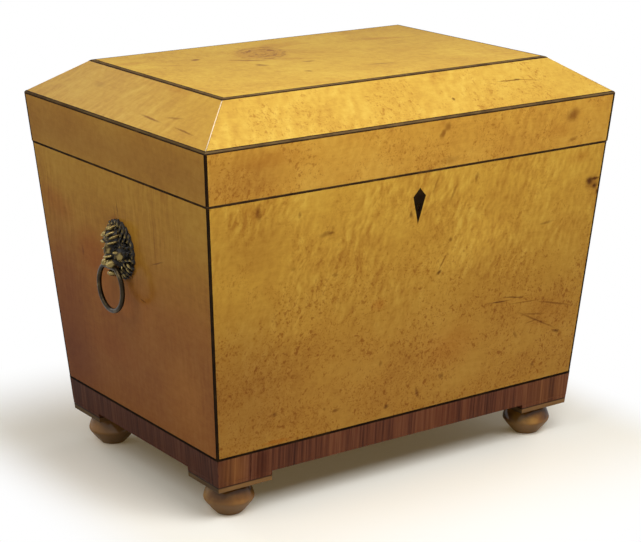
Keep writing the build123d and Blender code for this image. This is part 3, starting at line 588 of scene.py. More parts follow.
topMarks = {
    "warm": [(-30, 12, 60, 7, -30, 0.6), (20, 30, 70, 6, -34, 0.5), (-150, 40, 60, 6, -36, 0.5),
        (-200, 90, 28, 12, -4, 0.7), (144, 67, 50, 12, -16, 0.8), (-93, 46, 60, 26, 20, 0.3),
        (10, 99, 50, 22, 0, 0.6), (107, -13, 50, 20, 0, 0.35)],
    "grey": [(-81, -3, 13, 7, -72, 1.0), (-84, -1, 6, 5, -60, 1.0), (-24, -13, 11, 6, 0, 1.0),
        (35, -73, 22, 4.5, -12, 1.0)],
    "brown": [(-78, 31, 34, 5, -40, 0.8), (-126, 69, 10, 6, 26, 1.0)],
    "knot": [(-59, -64, 7, 3.5, -30, 1.0)],
}
bandMarks = {
    "tan": [(-233, 24, 26, 40, 0, 0.95), (215, 24, 50, 40, 0, 0.4)],
    "knot": [(-209, 24, 0.8, 40, 0, 0.9), (-252, 24, 1.2, 40, 0, 0.8)],
    "brown": [(-196, 24, 13, 40, 0, 0.8)],
    "warm": [(60, 24, 60, 40, 0, 0.5)],
}
# Tones from the foot of each face to its top: the side ramps are a tint and a painted shade that darkens
# towards the foot
plainTintAndPaintedShade = [(0.0, (0.84, 0.74, 0.68)), (1.0, (0.98, 0.96, 0.80))]
frontTintAndPaintedShade = [(0.0, (0.83, 0.76, 0.70)), (0.45, (0.83, 0.78, 0.61)), (1.0, (0.97, 0.98, 0.72))]
leftTintAndPaintedShade = [(0.0, (0.65, 0.42, 0.48)), (0.5, (0.76, 0.53, 0.51)), (1.0, (0.99, 0.91, 0.66))]
friezeTones = [(0.0, (0.96, 0.92, 0.76)), (1.0, (1.0, 0.96, 0.76))]
hipTones = [(0.0, (0.86, 0.97, 0.92)), (1.0, (0.87, 0.99, 0.94))]
topTones = [(0.0, (0.90, 0.99, 0.64)), (1.0, (0.90, 0.99, 0.64))]
sloping = (0.389, 0.429)         # from the widest arris to the top of the lid
maple = {
    "front": mapleVeneer("mapleFront", frontTintAndPaintedShade, ripple=(0.25, 1.0), flecks=(0.75, 0.25), marks=frontMarks),
    "back": mapleVeneer("mapleBack", plainTintAndPaintedShade, ripple=(0.4, 0.9), flecks=(0.8, 0.2)),
    "left": mapleVeneer("mapleLeft", leftTintAndPaintedShade, ripple=(0.3, 0.6), flecks=(0.25, 0.15), marks=leftMarks,
                        face="end", strokeKind="endRipple"),
    "right": mapleVeneer("mapleRight", plainTintAndPaintedShade, ripple=(0.3, 0.6), flecks=(0.4, 0.3), face="end",
                         strokeKind="endRipple"),
    "frieze": mapleVeneer("mapleFrieze", friezeTones, (0.330, 0.389), (0.4, 0.5), (0.40, 0.32), friezeMarks,
                          paintedEndShade=(0.95, 0.88, 0.84)),
    "hips": mapleVeneer("mapleHips", hipTones, sloping, (0.42, 0.42), (0.34, 0.34), hipMarks, "top",
                        mitreHighlight, "hipRipple", (0.96, 0.90, 0.84)),
    "top": mapleVeneer("mapleTop", topTones, sloping, (0.2, 0.2), (0.2, 0.2), topMarks, "top",
                       swirl=topSwirl),
}
rosewood = rosewoodBanding("rosewoodBand", bandMarks)
ebony = ebonyString("ebony")
# painted light: the lid's strings and the joint strings are drawn 2.4 times lighter, besides the wear along
# their arrises
wornAndLitEbony = ebonyString("wornAndLitEbony", 2.4)
darkHorn = ebonyString("darkHorn", 0.7)
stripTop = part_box("pad_strips")[1].z
paleStrip = plainWood("paleStrip", (0.17, 0.078, 0.026), (0.36, 0.185, 0.060), (20.0, 300.0, 30.0), 0.42,
                      seamAndShadow=(stripTop - 0.0021, stripTop - 0.0012), paintedEndShade=(0.56, 0.62, 0.64))
turnedWood = glossyTurning("turnedWood")
mahogany = plainWood("mahogany", (0.115, 0.042, 0.018), (0.30, 0.125, 0.052), (14.0, 380.0, 40.0), 0.5,
                     0.0004)
dividerWood = plainWood("dividerWood", (0.15, 0.06, 0.026), (0.34, 0.155, 0.068), (14.0, 340.0, 40.0), 0.46,
                        0.0003)
brass, giltBrass, ringBrass = (stainedBrass(name) for name in brassLooks)
lionBrass = castLionBrass("lionBrass")


def dress(node, material):
    mesh = cadNodes[node].data
    mesh.materials.clear()
    mesh.materials.append(material)


slotMaterial = {
    "ebony": ebony, "rosewood": rosewood, "light_strip": paleStrip, "foot_wood": turnedWood,
    "carcase_wood": mahogany, "divider_wood": dividerWood, "plain_brass": brass, "old_gilt_brass": giltBrass,
    "maple_veneer": maple["frieze"],
}
slotOf = {part["node"]: part["material_slot"] for part in frame["record"]["subparts"]}
for node, slot in slotOf.items():
    dress(node, slotMaterial[slot])
for side in ("front", "back", "left", "right"):
    dress("case_veneer_" + side, maple[side])
dress("lid_top_veneer", maple["top"])
dress("escutcheon", darkHorn)
for node in ("lid_arris_string", "lid_top_string", "lid_joint_string", "case_joint_string"):
    dress(node, wornAndLitEbony)


# Pieces made from a node's own shape

# The piece takes its node's place and body and the material it is given, hides the node, and is shaded smooth
# up to an angle in degrees
def finishPiece(name, shape, material, node, smoothAngle=None):
    mesh = bpy.data.meshes.new(name)
    shape.to_mesh(mesh)
    shape.free()
    mesh.materials.append(material)
    if smoothAngle is not None:
        mesh.polygons.foreach_set("use_smooth", [True] * len(mesh.polygons))
        mesh.set_sharp_from_angle(angle=math.radians(smoothAngle))
    piece = bpy.data.objects.new(name, mesh)
    bpy.context.scene.collection.objects.link(piece)
    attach(piece, bodyOf[node])
    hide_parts(node)
    return piece


# Rings of points joined into a tube, closed round and, if it is a loop, end to end
def joinRings(shape, rings, loop=False):
    after = rings[1:] + (rings[:1] if loop else [])
    for lower, upper in zip(rings, after):
        for i in range(len(lower)):
            j = (i + 1) % len(lower)
            shape.faces.new((lower[i], lower[j], upper[j], upper[i]))


def mergedShape(node):
    shape = bmesh.new()
    shape.from_mesh(cadNodes[node].data)
    bmesh.ops.remove_doubles(shape, verts=shape.verts, dist=0.00001)
    bmesh.ops.dissolve_limit(shape, angle_limit=math.radians(0.5), verts=shape.verts, edges=shape.edges)
    shape.normal_update()
    return shape


# A face that is seen from outside: it looks away from the middle of the case, or up
def isOutside(face, below):
    centre = face.calc_center_median()
    size = cadBox[1] - cadBox[0]
    if abs(centre.x) / size.x > abs(centre.y) / size.y:
        outward = Vector((math.copysign(1, centre.x), 0, 0))
    else:
        outward = Vector((0, math.copysign(1, centre.y), 0))
    return face.normal.dot(outward) > 0.2 or face.normal.z > 0.5 or (below and face.normal.z < -0.5)


shortestRounded = 0.004
# worn: how much wear and painted highlight the rounded arris shows
easedNodes = {
    "lid_arris_string": {"piece": "lid_arris_stringing", "width": 0.0014, "wornAndSheen": 1.0},
    "lid_top_string": {"piece": "lid_top_stringing", "width": 0.0016, "wornAndSheen": 1.0},
    "lid_corner_strings": {"piece": "lid_corner_stringing", "width": 0.0006},
    "lid_joint_string": {"piece": "lid_joint_stringing", "width": 0.0005, "below": True, "wornAndSheen": 0.7},
    "case_joint_string": {"piece": "case_joint_stringing", "width": 0.0004},
    "case_corner_strings": {"piece": "case_corner_stringing", "width": 0.0006},
    "pad_strips": {"piece": "pad_light_strips", "width": 0.0008, "below": True},
    "pad_facings": {"piece": "pad_rosewood", "width": 0.0005},
}


# Edges seen from outside are rounded, and only the rounding is shaded smooth; its points carry the worn
# value, as wear and painted highlight
def roundEdges(shape, edges, width, steps, wornAndSheen):
    made = bmesh.ops.bevel(shape, geom=edges, offset=width, segments=steps, profile=0.5, affect="EDGES")
    rounded = set(made["faces"])
    wearAndSheen = shape.verts.layers.float.new("wearAndSheen")
    for face in shape.faces:
        face.smooth = face in rounded
    for vert in shape.verts:
        inside = sum(face in rounded for face in vert.link_faces) * 2 > len(vert.link_faces)
        vert[wearAndSheen] = wornAndSheen if inside else 0.0


def easedPiece(node, piece, width, below=False, wornAndSheen=0.15):
    shape = mergedShape(node)
    chosen = [edge for edge in shape.edges
              if len(edge.link_faces) == 2 and all(isOutside(face, below) for face in edge.link_faces)
              and edge.calc_face_angle() > math.radians(15) and edge.calc_length() > shortestRounded]
    roundEdges(shape, chosen, width, 4, wornAndSheen)
    finishPiece(piece, shape, cadNodes[node].data.materials[0], node)


print("eased strings and pads")
for node, easing in easedNodes.items():
    easedPiece(node, **easing)


hipLook = {"thickness": 0.0012, "easing": 0.0009, "easingSteps": 4}


# The four sloping veneers in one skin, with the mitres rubbed round
def hipVeneers():
    base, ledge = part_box("lid_arris_string")[1].z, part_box("lid_hip_veneers")[1]
    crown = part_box("lid_top_string")
    levels = [(ledge.x, ledge.y, base), (crown[1].x, crown[1].y, crown[0].z)]
    drop = hipLook["thickness"]
    levels += [(x - drop, y - drop, z - drop) for x, y, z in reversed(levels)]
    corners = ((-1, -1), (1, -1), (1, 1), (-1, 1))
    shape = bmesh.new()
    rings = [[shape.verts.new((side * x, end * y, z)) for side, end in corners] for x, y, z in levels]
    joinRings(shape, rings, loop=True)
    bmesh.ops.recalc_face_normals(shape, faces=shape.faces)
    hips = [shape.edges.get((rings[0][i], rings[1][i])) for i in range(4)]
    roundEdges(shape, hips, hipLook["easing"], hipLook["easingSteps"], 0.0)
    finishPiece("lid_hip_skin", shape, maple["hips"], "lid_hip_veneers")


hipVeneers()


footLook = {"rubbing": 0.0019, "rows": 48, "sides": 80}      # metres over which the girth is rubbed round


# A foot's radius at each height of the CAD foot, up to its top
def turningOf(node, centre):
    turning = {}
    for vert in cadNodes[node].data.vertices:
        level = round(vert.co.z, 5)
        if level <= round(seat, 5):
            turning[level] = max(turning.get(level, 0.0), (vert.co - centre).xy.length)
    return sorted(turning.items())


def radiusAt(turning, level):
    for (low, first), (high, second) in zip(turning, turning[1:]):
        if level <= high:
            return first + (second - first) * (level - low) / (high - low)
    return turning[-1][1]


# The turned feet with a soft girth, each with the dowel that holds it
def turnedFoot(node, piece):
    look, box = footLook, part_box(node)
    centre = (box[0] + box[1]) / 2
    turning = turningOf(node, centre)
    dowel = min((vert.co - centre).xy.length for vert in cadNodes[node].data.vertices)
    profile = []
    for row in range(look["rows"] + 1):
        level = seat * row / look["rows"]
        reach = min(look["rubbing"], level, seat - level)
        near = [radiusAt(turning, level + reach * share / 4) for share in range(-4, 5)]
        profile.append((sum(near) / len(near), level))
    profile += [(dowel, seat), (dowel, box[1].z)]
    angles = [2 * math.pi * i / look["sides"] for i in range(look["sides"])]
    spokes = [Vector((math.cos(angle), math.sin(angle), 0)) for angle in angles]
    axis = Vector((centre.x, centre.y, 0))
    shape = bmesh.new()
    rings = [[shape.verts.new(axis + spoke * radius + Vector((0, 0, level))) for spoke in spokes]
             for radius, level in profile]
    joinRings(shape, rings)
    shape.faces.new(rings[0][::-1])
    shape.faces.new(rings[-1])
    finishPiece(piece, shape, turnedWood, node, 35)


print("turned feet")
for corner in ("front_left", "front_right", "back_left", "back_right"):
    turnedFoot("bun_foot_" + corner, "turned_foot_" + corner)


# Lion masks, cast in brass: a head in relief on a round net, with a mane of loose locks

lionLook = {                 # millimetres on the mask's own plane: across, up, and off the end of the case
    "halfWidth": 29.5,
    "halfHeight": 33.2,
    "centreDrop": 87.4,      # the mask's centre below the lid joint
    "rimHeight": 3.4,
    "rimLobes": 20,
    "rimDepth": 0.03,
    "spokes": 168,
    "hoops": 64,
    "blendWidth": 2.0,
    "pivotDrop": 19.0,       # the ring's pivot below the mask's centre
    "pivotStand": 16.6,
    "swingRoom": 9.0,
    "swingGap": 3.6,
    "mouthHalfWidth": 11.2,
    "mouthRise": 9.0,        # how steeply the relief rises again between the corners of the mouth
    "cheekFrom": 17.0,       # and, more gently, outside them, up to a stand that stays clear of the ring
    "cheekRise": 2.0,
    "cheekStand": 10.0,
    "ringLean": 0.24,
}

# Domes: across, up, half width, half height, stand, turn in degrees. Those off the middle have a twin
lionDomes = [
    (0, -1, 20, 27, 13.4, 0), (0, 15.5, 13.5, 10.5, 19.2, 0), (0, 4, 5.6, 13.5, 21.2, 0),
    (0, -5.0, 6.4, 4.2, 23.6, 0), (5.6, -12.8, 7.2, 7.4, 24.2, 14), (0, -24.8, 7.4, 5.8, 20.4, 0),
    (11.8, -4.5, 7.0, 9.5, 16.2, -14), (7.0, 11.2, 6.0, 3.2, 21.0, 24), (11.6, 1.2, 4.6, 2.6, 17.8, -30),
    (4.2, 20.4, 4.8, 2.8, 20.6, 64), (9.0, 17.4, 4.6, 2.6, 19.2, 46), (1.8, 26.0, 2.6, 4.4, 16.0, -14),
]

# Hollows, and small swells where the depth is negative
lionHollows = [
    (7.0, 6.4, 4.8, 3.2, 7.4, 12), (0, -13.8, 0.9, 6.4, 3.0, 0), (0, -20.4, 10.6, 1.3, 7.0, 0),
    (2.9, -6.6, 1.5, 1.1, 3.4, 24), (6.4, -2.4, 1.5, 5.0, 3.6, 12), (0, 19.0, 0.9, 7.0, 3.2, 0),
    (13.2, 8.0, 1.6, 5.0, 3.4, 34), (11.8, -9.0, 1.3, 5.0, 3.8, -26), (0, 12.0, 3.4, 0.9, 1.8, 0),
    (7.0, 6.3, 2.5, 1.9, -5.6, 10), (7.2, 8.5, 3.7, 0.7, -1.8, 16), (7.2, 4.1, 3.4, 0.7, -1.6, 8),
    (4.2, -8.4, 1.5, 1.5, -0.9, 0), (0, -26.4, 2.6, 0.9, 1.6, 0), (3.4, -11.4, 0.5, 4.2, 1.1, 26),
    (5.8, -12.0, 0.5, 4.6, 1.1, 32), (8.2, -12.6, 0.5, 4.2, 1.1, 38), (7.0, 6.2, 0.8, 0.8, 1.2, 0),
    (6.6, 19.2, 0.7, 4.2, 2.4, -36), (3.4, 22.4, 0.6, 4.0, 2.0, -18),
]


def withTwins(mounds):
    return mounds + [(-x, y, wide, tall, stand, -turn) for x, y, wide, tall, stand, turn in mounds if x]


def reachOf(across, up, mound):
    x, y, wide, tall, _, turn = mound
    cosine, sine = math.cos(math.radians(turn)), math.sin(math.radians(turn))
    dx, dy = across - x, up - y
    return math.hypot((dx * cosine + dy * sine) / wide, (dy * cosine - dx * sine) / tall)


def softGreater(first, second, width):
    blend = max(0.0, 1.0 - abs(first - second) / width)
    return max(first, second) + blend * blend * width / 4


# Room for the ring to swing at the corners of the mouth
def swingLimit(across, up):
    look = lionLook
    drop = up + look["pivotDrop"]
    if drop > look["swingRoom"]:
        return 99.0
    if drop > -look["swingRoom"]:
        limit = look["pivotStand"] - math.sqrt(look["swingRoom"] ** 2 - drop ** 2)
    else:
        limit = look["pivotStand"] - look["swingGap"] + look["ringLean"] * drop
    outer = limit + max(0.0, abs(across) - look["cheekFrom"]) * look["cheekRise"]
    limit = max(limit, min(look["cheekStand"], outer))
    return limit + max(0.0, look["mouthHalfWidth"] - abs(across)) * look["mouthRise"]


def lionHeight(across, up, domes, hollows):
    height = 0.0
    for dome in domes:
        away = reachOf(across, up, dome)
        if away < 1:
            height = softGreater(height, dome[4] * (1 - away ** 2.2) ** 0.55, lionLook["blendWidth"])
    height = softGreater(height, lionLook["rimHeight"], 2.4)
    for hollow in hollows:
        away = reachOf(across, up, hollow)
        if away < 1.7:
            height -= hollow[4] * math.exp(-2.2 * away ** 2)
    return min(height, swingLimit(across, up))


# The relief as heights on hoops and spokes, each point with how far it stands out of what lies round it
def lionRelief():
    look = lionLook
    domes, hollows = withTwins(lionDomes), withTwins(lionHollows)
    spokes, hoops = look["spokes"], look["hoops"]
    places, heights = [], []
    for hoop in range(1, hoops + 1):
        share = hoop / hoops
        edge = math.sqrt(max(0.0, 1 - max(0.0, (share - 0.93) / 0.07) ** 2))
        for spoke in range(spokes):
            angle = 2 * math.pi * spoke / spokes
            reach = share * (1 + look["rimDepth"] * share ** 6 * math.cos(look["rimLobes"] * angle))
            across = reach * look["halfWidth"] * math.cos(angle)
            up = reach * look["halfHeight"] * math.sin(angle)
            places.append((across, up))
            heights.append(lionHeight(across, up, domes, hollows) * edge)
    wornAndSheen = []
    for hoop in range(hoops):
        for spoke in range(spokes):
            near = [heights[min(hoops - 1, max(0, hoop + a)) * spokes + (spoke + b) % spokes]
                    for a, b in ((-4, 0), (4, 0), (0, -4), (0, 4), (-3, 3), (3, -3), (-3, -3), (3, 3))]
            wornAndSheen.append(heights[hoop * spokes + spoke] - sum(near) / len(near))
    return places, heights, wornAndSheen


def lionHead(relief):
    places, heights, wornAndSheen = relief
    spokes, hoops = lionLook["spokes"], lionLook["hoops"]
    shape = bmesh.new()
    wearAndSheen = shape.verts.layers.float.new("wearAndSheen")
    net = []
    for (across, up), height, stand in zip(places, heights, wornAndSheen):
        vert = shape.verts.new((across, up, height))
        vert[wearAndSheen] = min(1.0, max(0.0, 0.42 + 0.45 * stand + 0.012 * (height - 10)))
        net.append(vert)
    crown = shape.verts.new((0, 0, sum(heights[:spokes]) / spokes))
    crown[wearAndSheen] = 0.5
    back = [shape.verts.new((*places[(hoops - 1) * spokes + i], -0.4)) for i in range(spokes)]
    for i in range(spokes):
        j = (i + 1) % spokes
        shape.faces.new((crown, net[i], net[j]))
        for hoop in range(hoops - 1):
            a, b = hoop * spokes, (hoop + 1) * spokes
            shape.faces.new((net[a + i], net[b + i], net[b + j], net[a + j]))
        last = (hoops - 1) * spokes
        shape.faces.new((net[last + i], back[i], back[j], net[last + j]))
    shape.faces.new(back[::-1])
    return shape


# Rows of mane locks, from the rim inwards: how many, the oval they grow on, and their own size
maneRows = [
    {"Locks": 27, "Half Width": 24.8, "Half Height": 28.2, "Height": 2.6, "Length": 10.5, "Width": 2.5,
     "Lift": 2.6, "Lowest": -99.0},
    {"Locks": 22, "Half Width": 20.6, "Half Height": 24.2, "Height": 5.0, "Length": 10.0, "Width": 2.3,
     "Lift": 3.2, "Lowest": -27.0},
    {"Locks": 18, "Half Width": 17.2, "Half Height": 20.8, "Height": 7.6, "Length": 8.5, "Width": 2.0,
     "Lift": 3.4, "Lowest": -9.0},
]
maneLook = {
    "seed": 11,
    "twist": 0.42,           # radians either way
    "sizes": (0.84, 1.16),
    "swell": ((0.0, 0.45), (0.26, 1.0), (0.58, 0.74), (0.84, 0.34), (1.0, 0.03)),      # its width along it
}


# A Geometry Nodes tree with named inputs for its sizes, a seed and a material
def startGeometryTree(name, sizes, material):
    tree = bpy.data.node_groups.new(name, "GeometryNodeTree")
    bench["tree"] = tree

    def addSocket(label, kind, value=None, way="INPUT"):
        made = tree.interface.new_socket(label, in_out=way, socket_type="NodeSocket" + kind)
        if value is not None:
            made.default_value = value

    addSocket("Geometry", "Geometry")
    for label, value in sizes.items():
        addSocket(label, "Int" if isinstance(value, int) else "Float", value)
    addSocket("Seed", "Int", 1)
    addSocket(material, "Material")
    addSocket("Geometry", "Geometry", way="OUTPUT")
    return tree, addNode("NodeGroupInput").outputs


def endGeometryTree(shape, material):
    finish = addNode("GeometryNodeSetMaterial", {"Geometry": shape, "Material": material})
    plugIn(addNode("NodeGroupOutput").inputs[0], finish.outputs[0])


# A turn that aims each piece, then twists it about itself by chance
def twistedAim(aim, twists, seed, **settings):
    straight = addNode("FunctionNodeAlignRotationToVector", {"Vector": aim}, **settings).outputs[0]
    angle = byChance(*twists, seed)
    twist = addNode("FunctionNodeAxisAngleToRotation", {"Axis": (0, 0, 1), "Angle": angle}).outputs[0]
    both = {"Rotation": straight, "Rotate By": twist}
    return addNode("FunctionNodeRotateRotation", both, rotation_space="LOCAL").outputs[0]


def byChance(low, high, seed):
    return addNode("FunctionNodeRandomValue", {2: low, 3: high, "Seed": seed}, data_type="FLOAT").outputs[1]


def pointPlace():
    return addNode("GeometryNodeInputPosition").outputs[0]


def makeManeTree():
    look = maneLook
    tree, given = startGeometryTree("maneLocks", maneRows[0], "Brass")

    def part(factor, name):
        return times(given[name], factor)

    circle = addNode("GeometryNodeMeshCircle", {"Vertices": given["Locks"], "Radius": 1.0})
    oval = vectorCalc("MULTIPLY", pointPlace(), vectorOf(given["Half Width"], given["Half Height"], 1.0))
    roots = addNode("GeometryNodeSetPosition", {
        "Geometry": circle.outputs[0], "Position": oval, "Offset": vectorOf(0.0, 0.0, given["Height"])})
    bend = addNode("GeometryNodeCurveQuadraticBezier", {
        "Resolution": 9, "Start": vectorOf(part(-0.35, "Length"), 0.0, part(-0.3, "Lift")),
        "Middle": vectorOf(part(0.30, "Length"), part(-0.16, "Length"), part(1.5, "Lift")),
        "End": vectorOf(part(0.66, "Length"), part(0.20, "Length"), part(-0.55, "Lift"))}).outputs[0]
    along = addNode("GeometryNodeSplineParameter").outputs["Factor"]
    swell = addNode("ShaderNodeFloatCurve", {"Value": along})
    points = swell.mapping.curves[0].points
    points[0].location, points[1].location = look["swell"][0], look["swell"][-1]
    for place, size in look["swell"][1:-1]:
        points.new(place, size)
    swell.mapping.update()
    section = addNode("GeometryNodeCurveStar", {"Points": 5, "Inner Radius": 0.6, "Outer Radius": 1.08})
    lock = addNode("GeometryNodeCurveToMesh", {
        "Curve": bend, "Profile Curve": section.outputs[0], "Scale": times(swell.outputs[0], given["Width"]),
        "Fill Caps": True}).outputs[0]
    wearAndSheen = softStep(calc("DIVIDE", partsOf(pointPlace())[2], given["Lift"]), 0.1, 1.25, 0.05, 0.95)
    lock = addNode("GeometryNodeStoreNamedAttribute", {
        "Geometry": lock, "Name": "wearAndSheen", "Value": wearAndSheen}, data_type="FLOAT", domain="POINT").outputs[0]

    rootPlace = pointPlace()
    outward = vectorCalc("MULTIPLY", rootPlace, (1.0, 1.0, 0.0))
    turned = twistedAim(outward, (-look["twist"], look["twist"]), given["Seed"], axis="X", pivot_axis="Z")
    sizes = byChance(*look["sizes"], calc("ADD", given["Seed"], 7.0))
    chosen = addNode("FunctionNodeCompare", {0: partsOf(rootPlace)[1], 1: given["Lowest"]},
                     operation="GREATER_THAN").outputs[0]
    locks = addNode("GeometryNodeInstanceOnPoints", {
        "Points": roots.outputs[0], "Selection": chosen, "Instance": lock, "Rotation": turned,
        "Scale": sizes})
    whole = addNode("GeometryNodeRealizeInstances", {0: locks.outputs[0]}).outputs[0]
    joined = addNode("GeometryNodeJoinGeometry")
    for piece in (whole, given["Geometry"]):
        plugIn(joined.inputs[0], piece)
    endGeometryTree(joined.outputs[0], given["Brass"])
    return tree


def plainMesh(holder):
    bpy.context.view_layer.update()
    ready = holder.evaluated_get(bpy.context.evaluated_depsgraph_get())
    made = bpy.data.meshes.new_from_object(ready)
    bpy.data.objects.remove(holder)
    return made


def setInputs(modifier, **values):
    sockets = {item.name: item.identifier for item in modifier.node_group.interface.items_tree
               if item.in_out == "INPUT"}
    for name, value in values.items():
        modifier[sockets[name]] = value


def maneMesh():
    holder = bpy.data.objects.new("maneHolder", bpy.data.meshes.new("maneHolder"))
    bpy.context.scene.collection.objects.link(holder)
    tree = makeManeTree()
    for number, row in enumerate(maneRows):
        modifier = holder.modifiers.new("locks" + str(number), "NODES")
        modifier.node_group = tree
        setInputs(modifier, **row, Seed=maneLook["seed"] + number, Brass=lionBrass)
    return plainMesh(holder)


# The mask's plane leans with the end of the case
def maskPlace(side):
    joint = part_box("case_joint_string")[1].z
    low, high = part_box("base_string")[1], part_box("case_joint_string")[1]
    lean = math.atan2(high.x - low.x, high.z - low.z)
    level = joint - lionLook["centreDrop"] * 0.001
    reach = high.x - (high.z - level) * math.tan(lean)
    across = Vector((0, side, 0))
    up = Vector((side * math.sin(lean), 0, math.cos(lean)))
    off = across.cross(up)
    return Matrix.Translation((side * reach, 0, level)) @ Matrix((across, up, off)).transposed().to_4x4() @ \
        Matrix.Scale(0.001, 4)


def lionMasks():
    relief, mane = lionRelief(), maneMesh()
    for side, name in ((-1, "left"), (1, "right")):
        shape = lionHead(relief)
        shape.from_mesh(mane)
        shape.transform(maskPlace(side))
        finishPiece("lion_head_" + name, shape, lionBrass, "lion_mask_" + name, 50)


print("lion masks")
lionMasks()


# Screws by Geometry Nodes, one at each place where the CAD has one

screwKinds = {               # metres; each head's top is at the screw's own zero
    "countersunk": {"Head Radius": 0.00258, "Neck Radius": 0.0013, "Head Height": 0.0014,
                    "Shank Radius": 0.00128, "Length": 0.0089, "Slot": 0.0006},
    "backing": {"Head Radius": 0.00495, "Neck Radius": 0.00495, "Head Height": 0.0019, "Shank Radius": 0.0019,
                "Length": 0.0195, "Slot": 0.0007},
}
screwPieces = {
    "case_screws": {"case_hardware_screws": "countersunk", "mask_screws": "backing"},
    "lid_screws": {"lid_hardware_screws": "countersunk"},
}
screwLook = {"seed": 5, "headSides": 40, "shankSides": 24, "taper": 0.7}


# The separate solids of a mesh, in the same order at every run
def looseParts(shape):
    left = dict.fromkeys(shape.verts)
    while left:
        stack = [left.popitem()[0]]
        part = list(stack)
        while stack:
            for edge in stack.pop().link_edges:
                for vert in edge.verts:
                    if vert in left:
                        del left[vert]
                        stack.append(vert)
                        part.append(vert)
        yield part


# Where a screw's head ends and which way it looks, from the CAD screw's own shape
def screwAxis(part):
    centre = sum((vert.co for vert in part), Vector()) / len(part)
    faces = dict.fromkeys(face for vert in part for face in vert.link_faces)
    axis = max(faces, key=lambda face: face.calc_area()).normal.normalized()
    lean = sum((vert.co - centre).dot(axis) * (vert.co - centre).cross(axis).length for vert in part)
    if lean < 0:
        axis = -axis
    reach = max((vert.co - centre).dot(axis) for vert in part)
    return centre + axis * reach, axis


def makeScrewTree():
    look = screwLook
    tree, given = startGeometryTree("screws", screwKinds["countersunk"], "Metal")

    # A tapering round bar that stands on its narrow end, which lies at the given depth
    def roundBar(sides, top, bottom, length, depth):
        bar = addNode("GeometryNodeMeshCone", {
            "Vertices": sides, "Radius Top": top, "Radius Bottom": bottom, "Depth": length}).outputs[0]
        down = vectorOf(0.0, 0.0, times(depth, -1.0))
        return addNode("GeometryNodeTransform", {"Geometry": bar, "Translation": down}).outputs[0]

    height, shankRadius = given["Head Height"], given["Shank Radius"]
    head = roundBar(look["headSides"], given["Head Radius"], given["Neck Radius"], height, height)
    tip = times(shankRadius, look["taper"])
    shankLength = calc("SUBTRACT", given["Length"], times(height, 0.9))
    shank = roundBar(look["shankSides"], shankRadius, tip, shankLength, given["Length"])
    solid = addNode("GeometryNodeMeshBoolean", operation="UNION", solver="EXACT")
    for shape in (head, shank):
        plugIn(solid.inputs["Mesh 2"], shape)
    size = vectorOf(times(given["Head Radius"], 2.4), given["Slot"], times(given["Slot"], 2.0))
    slotted = addNode("GeometryNodeMeshBoolean", {"Mesh 1": solid.outputs[0]}, operation="DIFFERENCE",
                      solver="EXACT")
    plugIn(slotted.inputs["Mesh 2"], addNode("GeometryNodeMeshCube", {"Size": size}).outputs[0])
    aim = addNode("GeometryNodeInputNamedAttribute", {"Name": "aim"}, data_type="FLOAT_VECTOR").outputs[0]
    screws = addNode("GeometryNodeInstanceOnPoints", {
        "Points": given["Geometry"], "Instance": slotted.outputs[0],
        "Rotation": twistedAim(aim, (0.0, math.pi), given["Seed"], axis="Z")})
    whole = addNode("GeometryNodeRealizeInstances", {0: screws.outputs[0]}).outputs[0]
    endGeometryTree(whole, given["Metal"])
    return tree


def screwMesh(node, kind, tree):
    shape = mergedShape(node)
    axes = [screwAxis(part) for part in looseParts(shape)]
    shape.free()
    mesh = bpy.data.meshes.new(node + "Places")
    mesh.from_pydata([place for place, _ in axes], [], [])
    aims = mesh.attributes.new("aim", "FLOAT_VECTOR", "POINT")
    for item, (_, aim) in zip(aims.data, axes):
        item.vector = aim
    holder = bpy.data.objects.new(node + "Places", mesh)
    bpy.context.scene.collection.objects.link(holder)
    modifier = holder.modifiers.new("screws", "NODES")
    modifier.node_group = tree
    setInputs(modifier, **screwKinds[kind], Seed=screwLook["seed"], Metal=brass)
    return plainMesh(holder)


def screwPiece(name, nodes, tree):
    shape = bmesh.new()
    for node, kind in nodes.items():
        shape.from_mesh(screwMesh(node, kind, tree))
    piece = finishPiece(name, shape, brass, next(iter(nodes)), 30)
    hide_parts(*nodes)


print("screws")
screwTree = makeScrewTree()
for name, nodes in screwPieces.items():
    screwPiece(name, nodes, screwTree)


ringLook = {"wire": 0.00275, "radius": 0.0268, "halfChord": 0.013, "pivotDrop": 0.1064, "steps": 96,
            "chordSteps": 12, "sides": 20}


# A smooth wire ring whose straight top lies in the lion's mouth
def handleRing(name):
    look, box = ringLook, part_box("ring_" + name)
    middle = (box[0].x + box[1].x) / 2
    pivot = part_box("case_joint_string")[1].z - look["pivotDrop"]
    hub = pivot - math.sqrt(look["radius"] ** 2 - look["halfChord"] ** 2)
    start = math.atan2(look["halfChord"], pivot - hub)
    turns = [start + (2 * math.pi - 2 * start) * i / look["steps"] for i in range(look["steps"] + 1)]
    path = [Vector((middle, look["radius"] * math.sin(a), hub + look["radius"] * math.cos(a))) for a in turns]
    path += [path[-1].lerp(path[0], i / look["chordSteps"]) for i in range(1, look["chordSteps"])]
    shape = bmesh.new()
    loops = []
    for number, point in enumerate(path):
        ahead = (path[(number + 1) % len(path)] - path[number - 1]).normalized()
        beside = ahead.cross(Vector((1, 0, 0))).normalized()
        loops.append([])
        for i in range(look["sides"]):
            turn = 2 * math.pi * i / look["sides"]
            offset = beside * math.cos(turn) + Vector((1, 0, 0)) * math.sin(turn)
            loops[-1].append(shape.verts.new(point + offset * look["wire"]))
    joinRings(shape, loops, loop=True)
    bmesh.ops.recalc_face_normals(shape, faces=shape.faces)
    finishPiece("swing_ring_" + name, shape, ringBrass, "ring_" + name, 40)


for name in ("left", "right"):
    handleRing(name)


# Studio

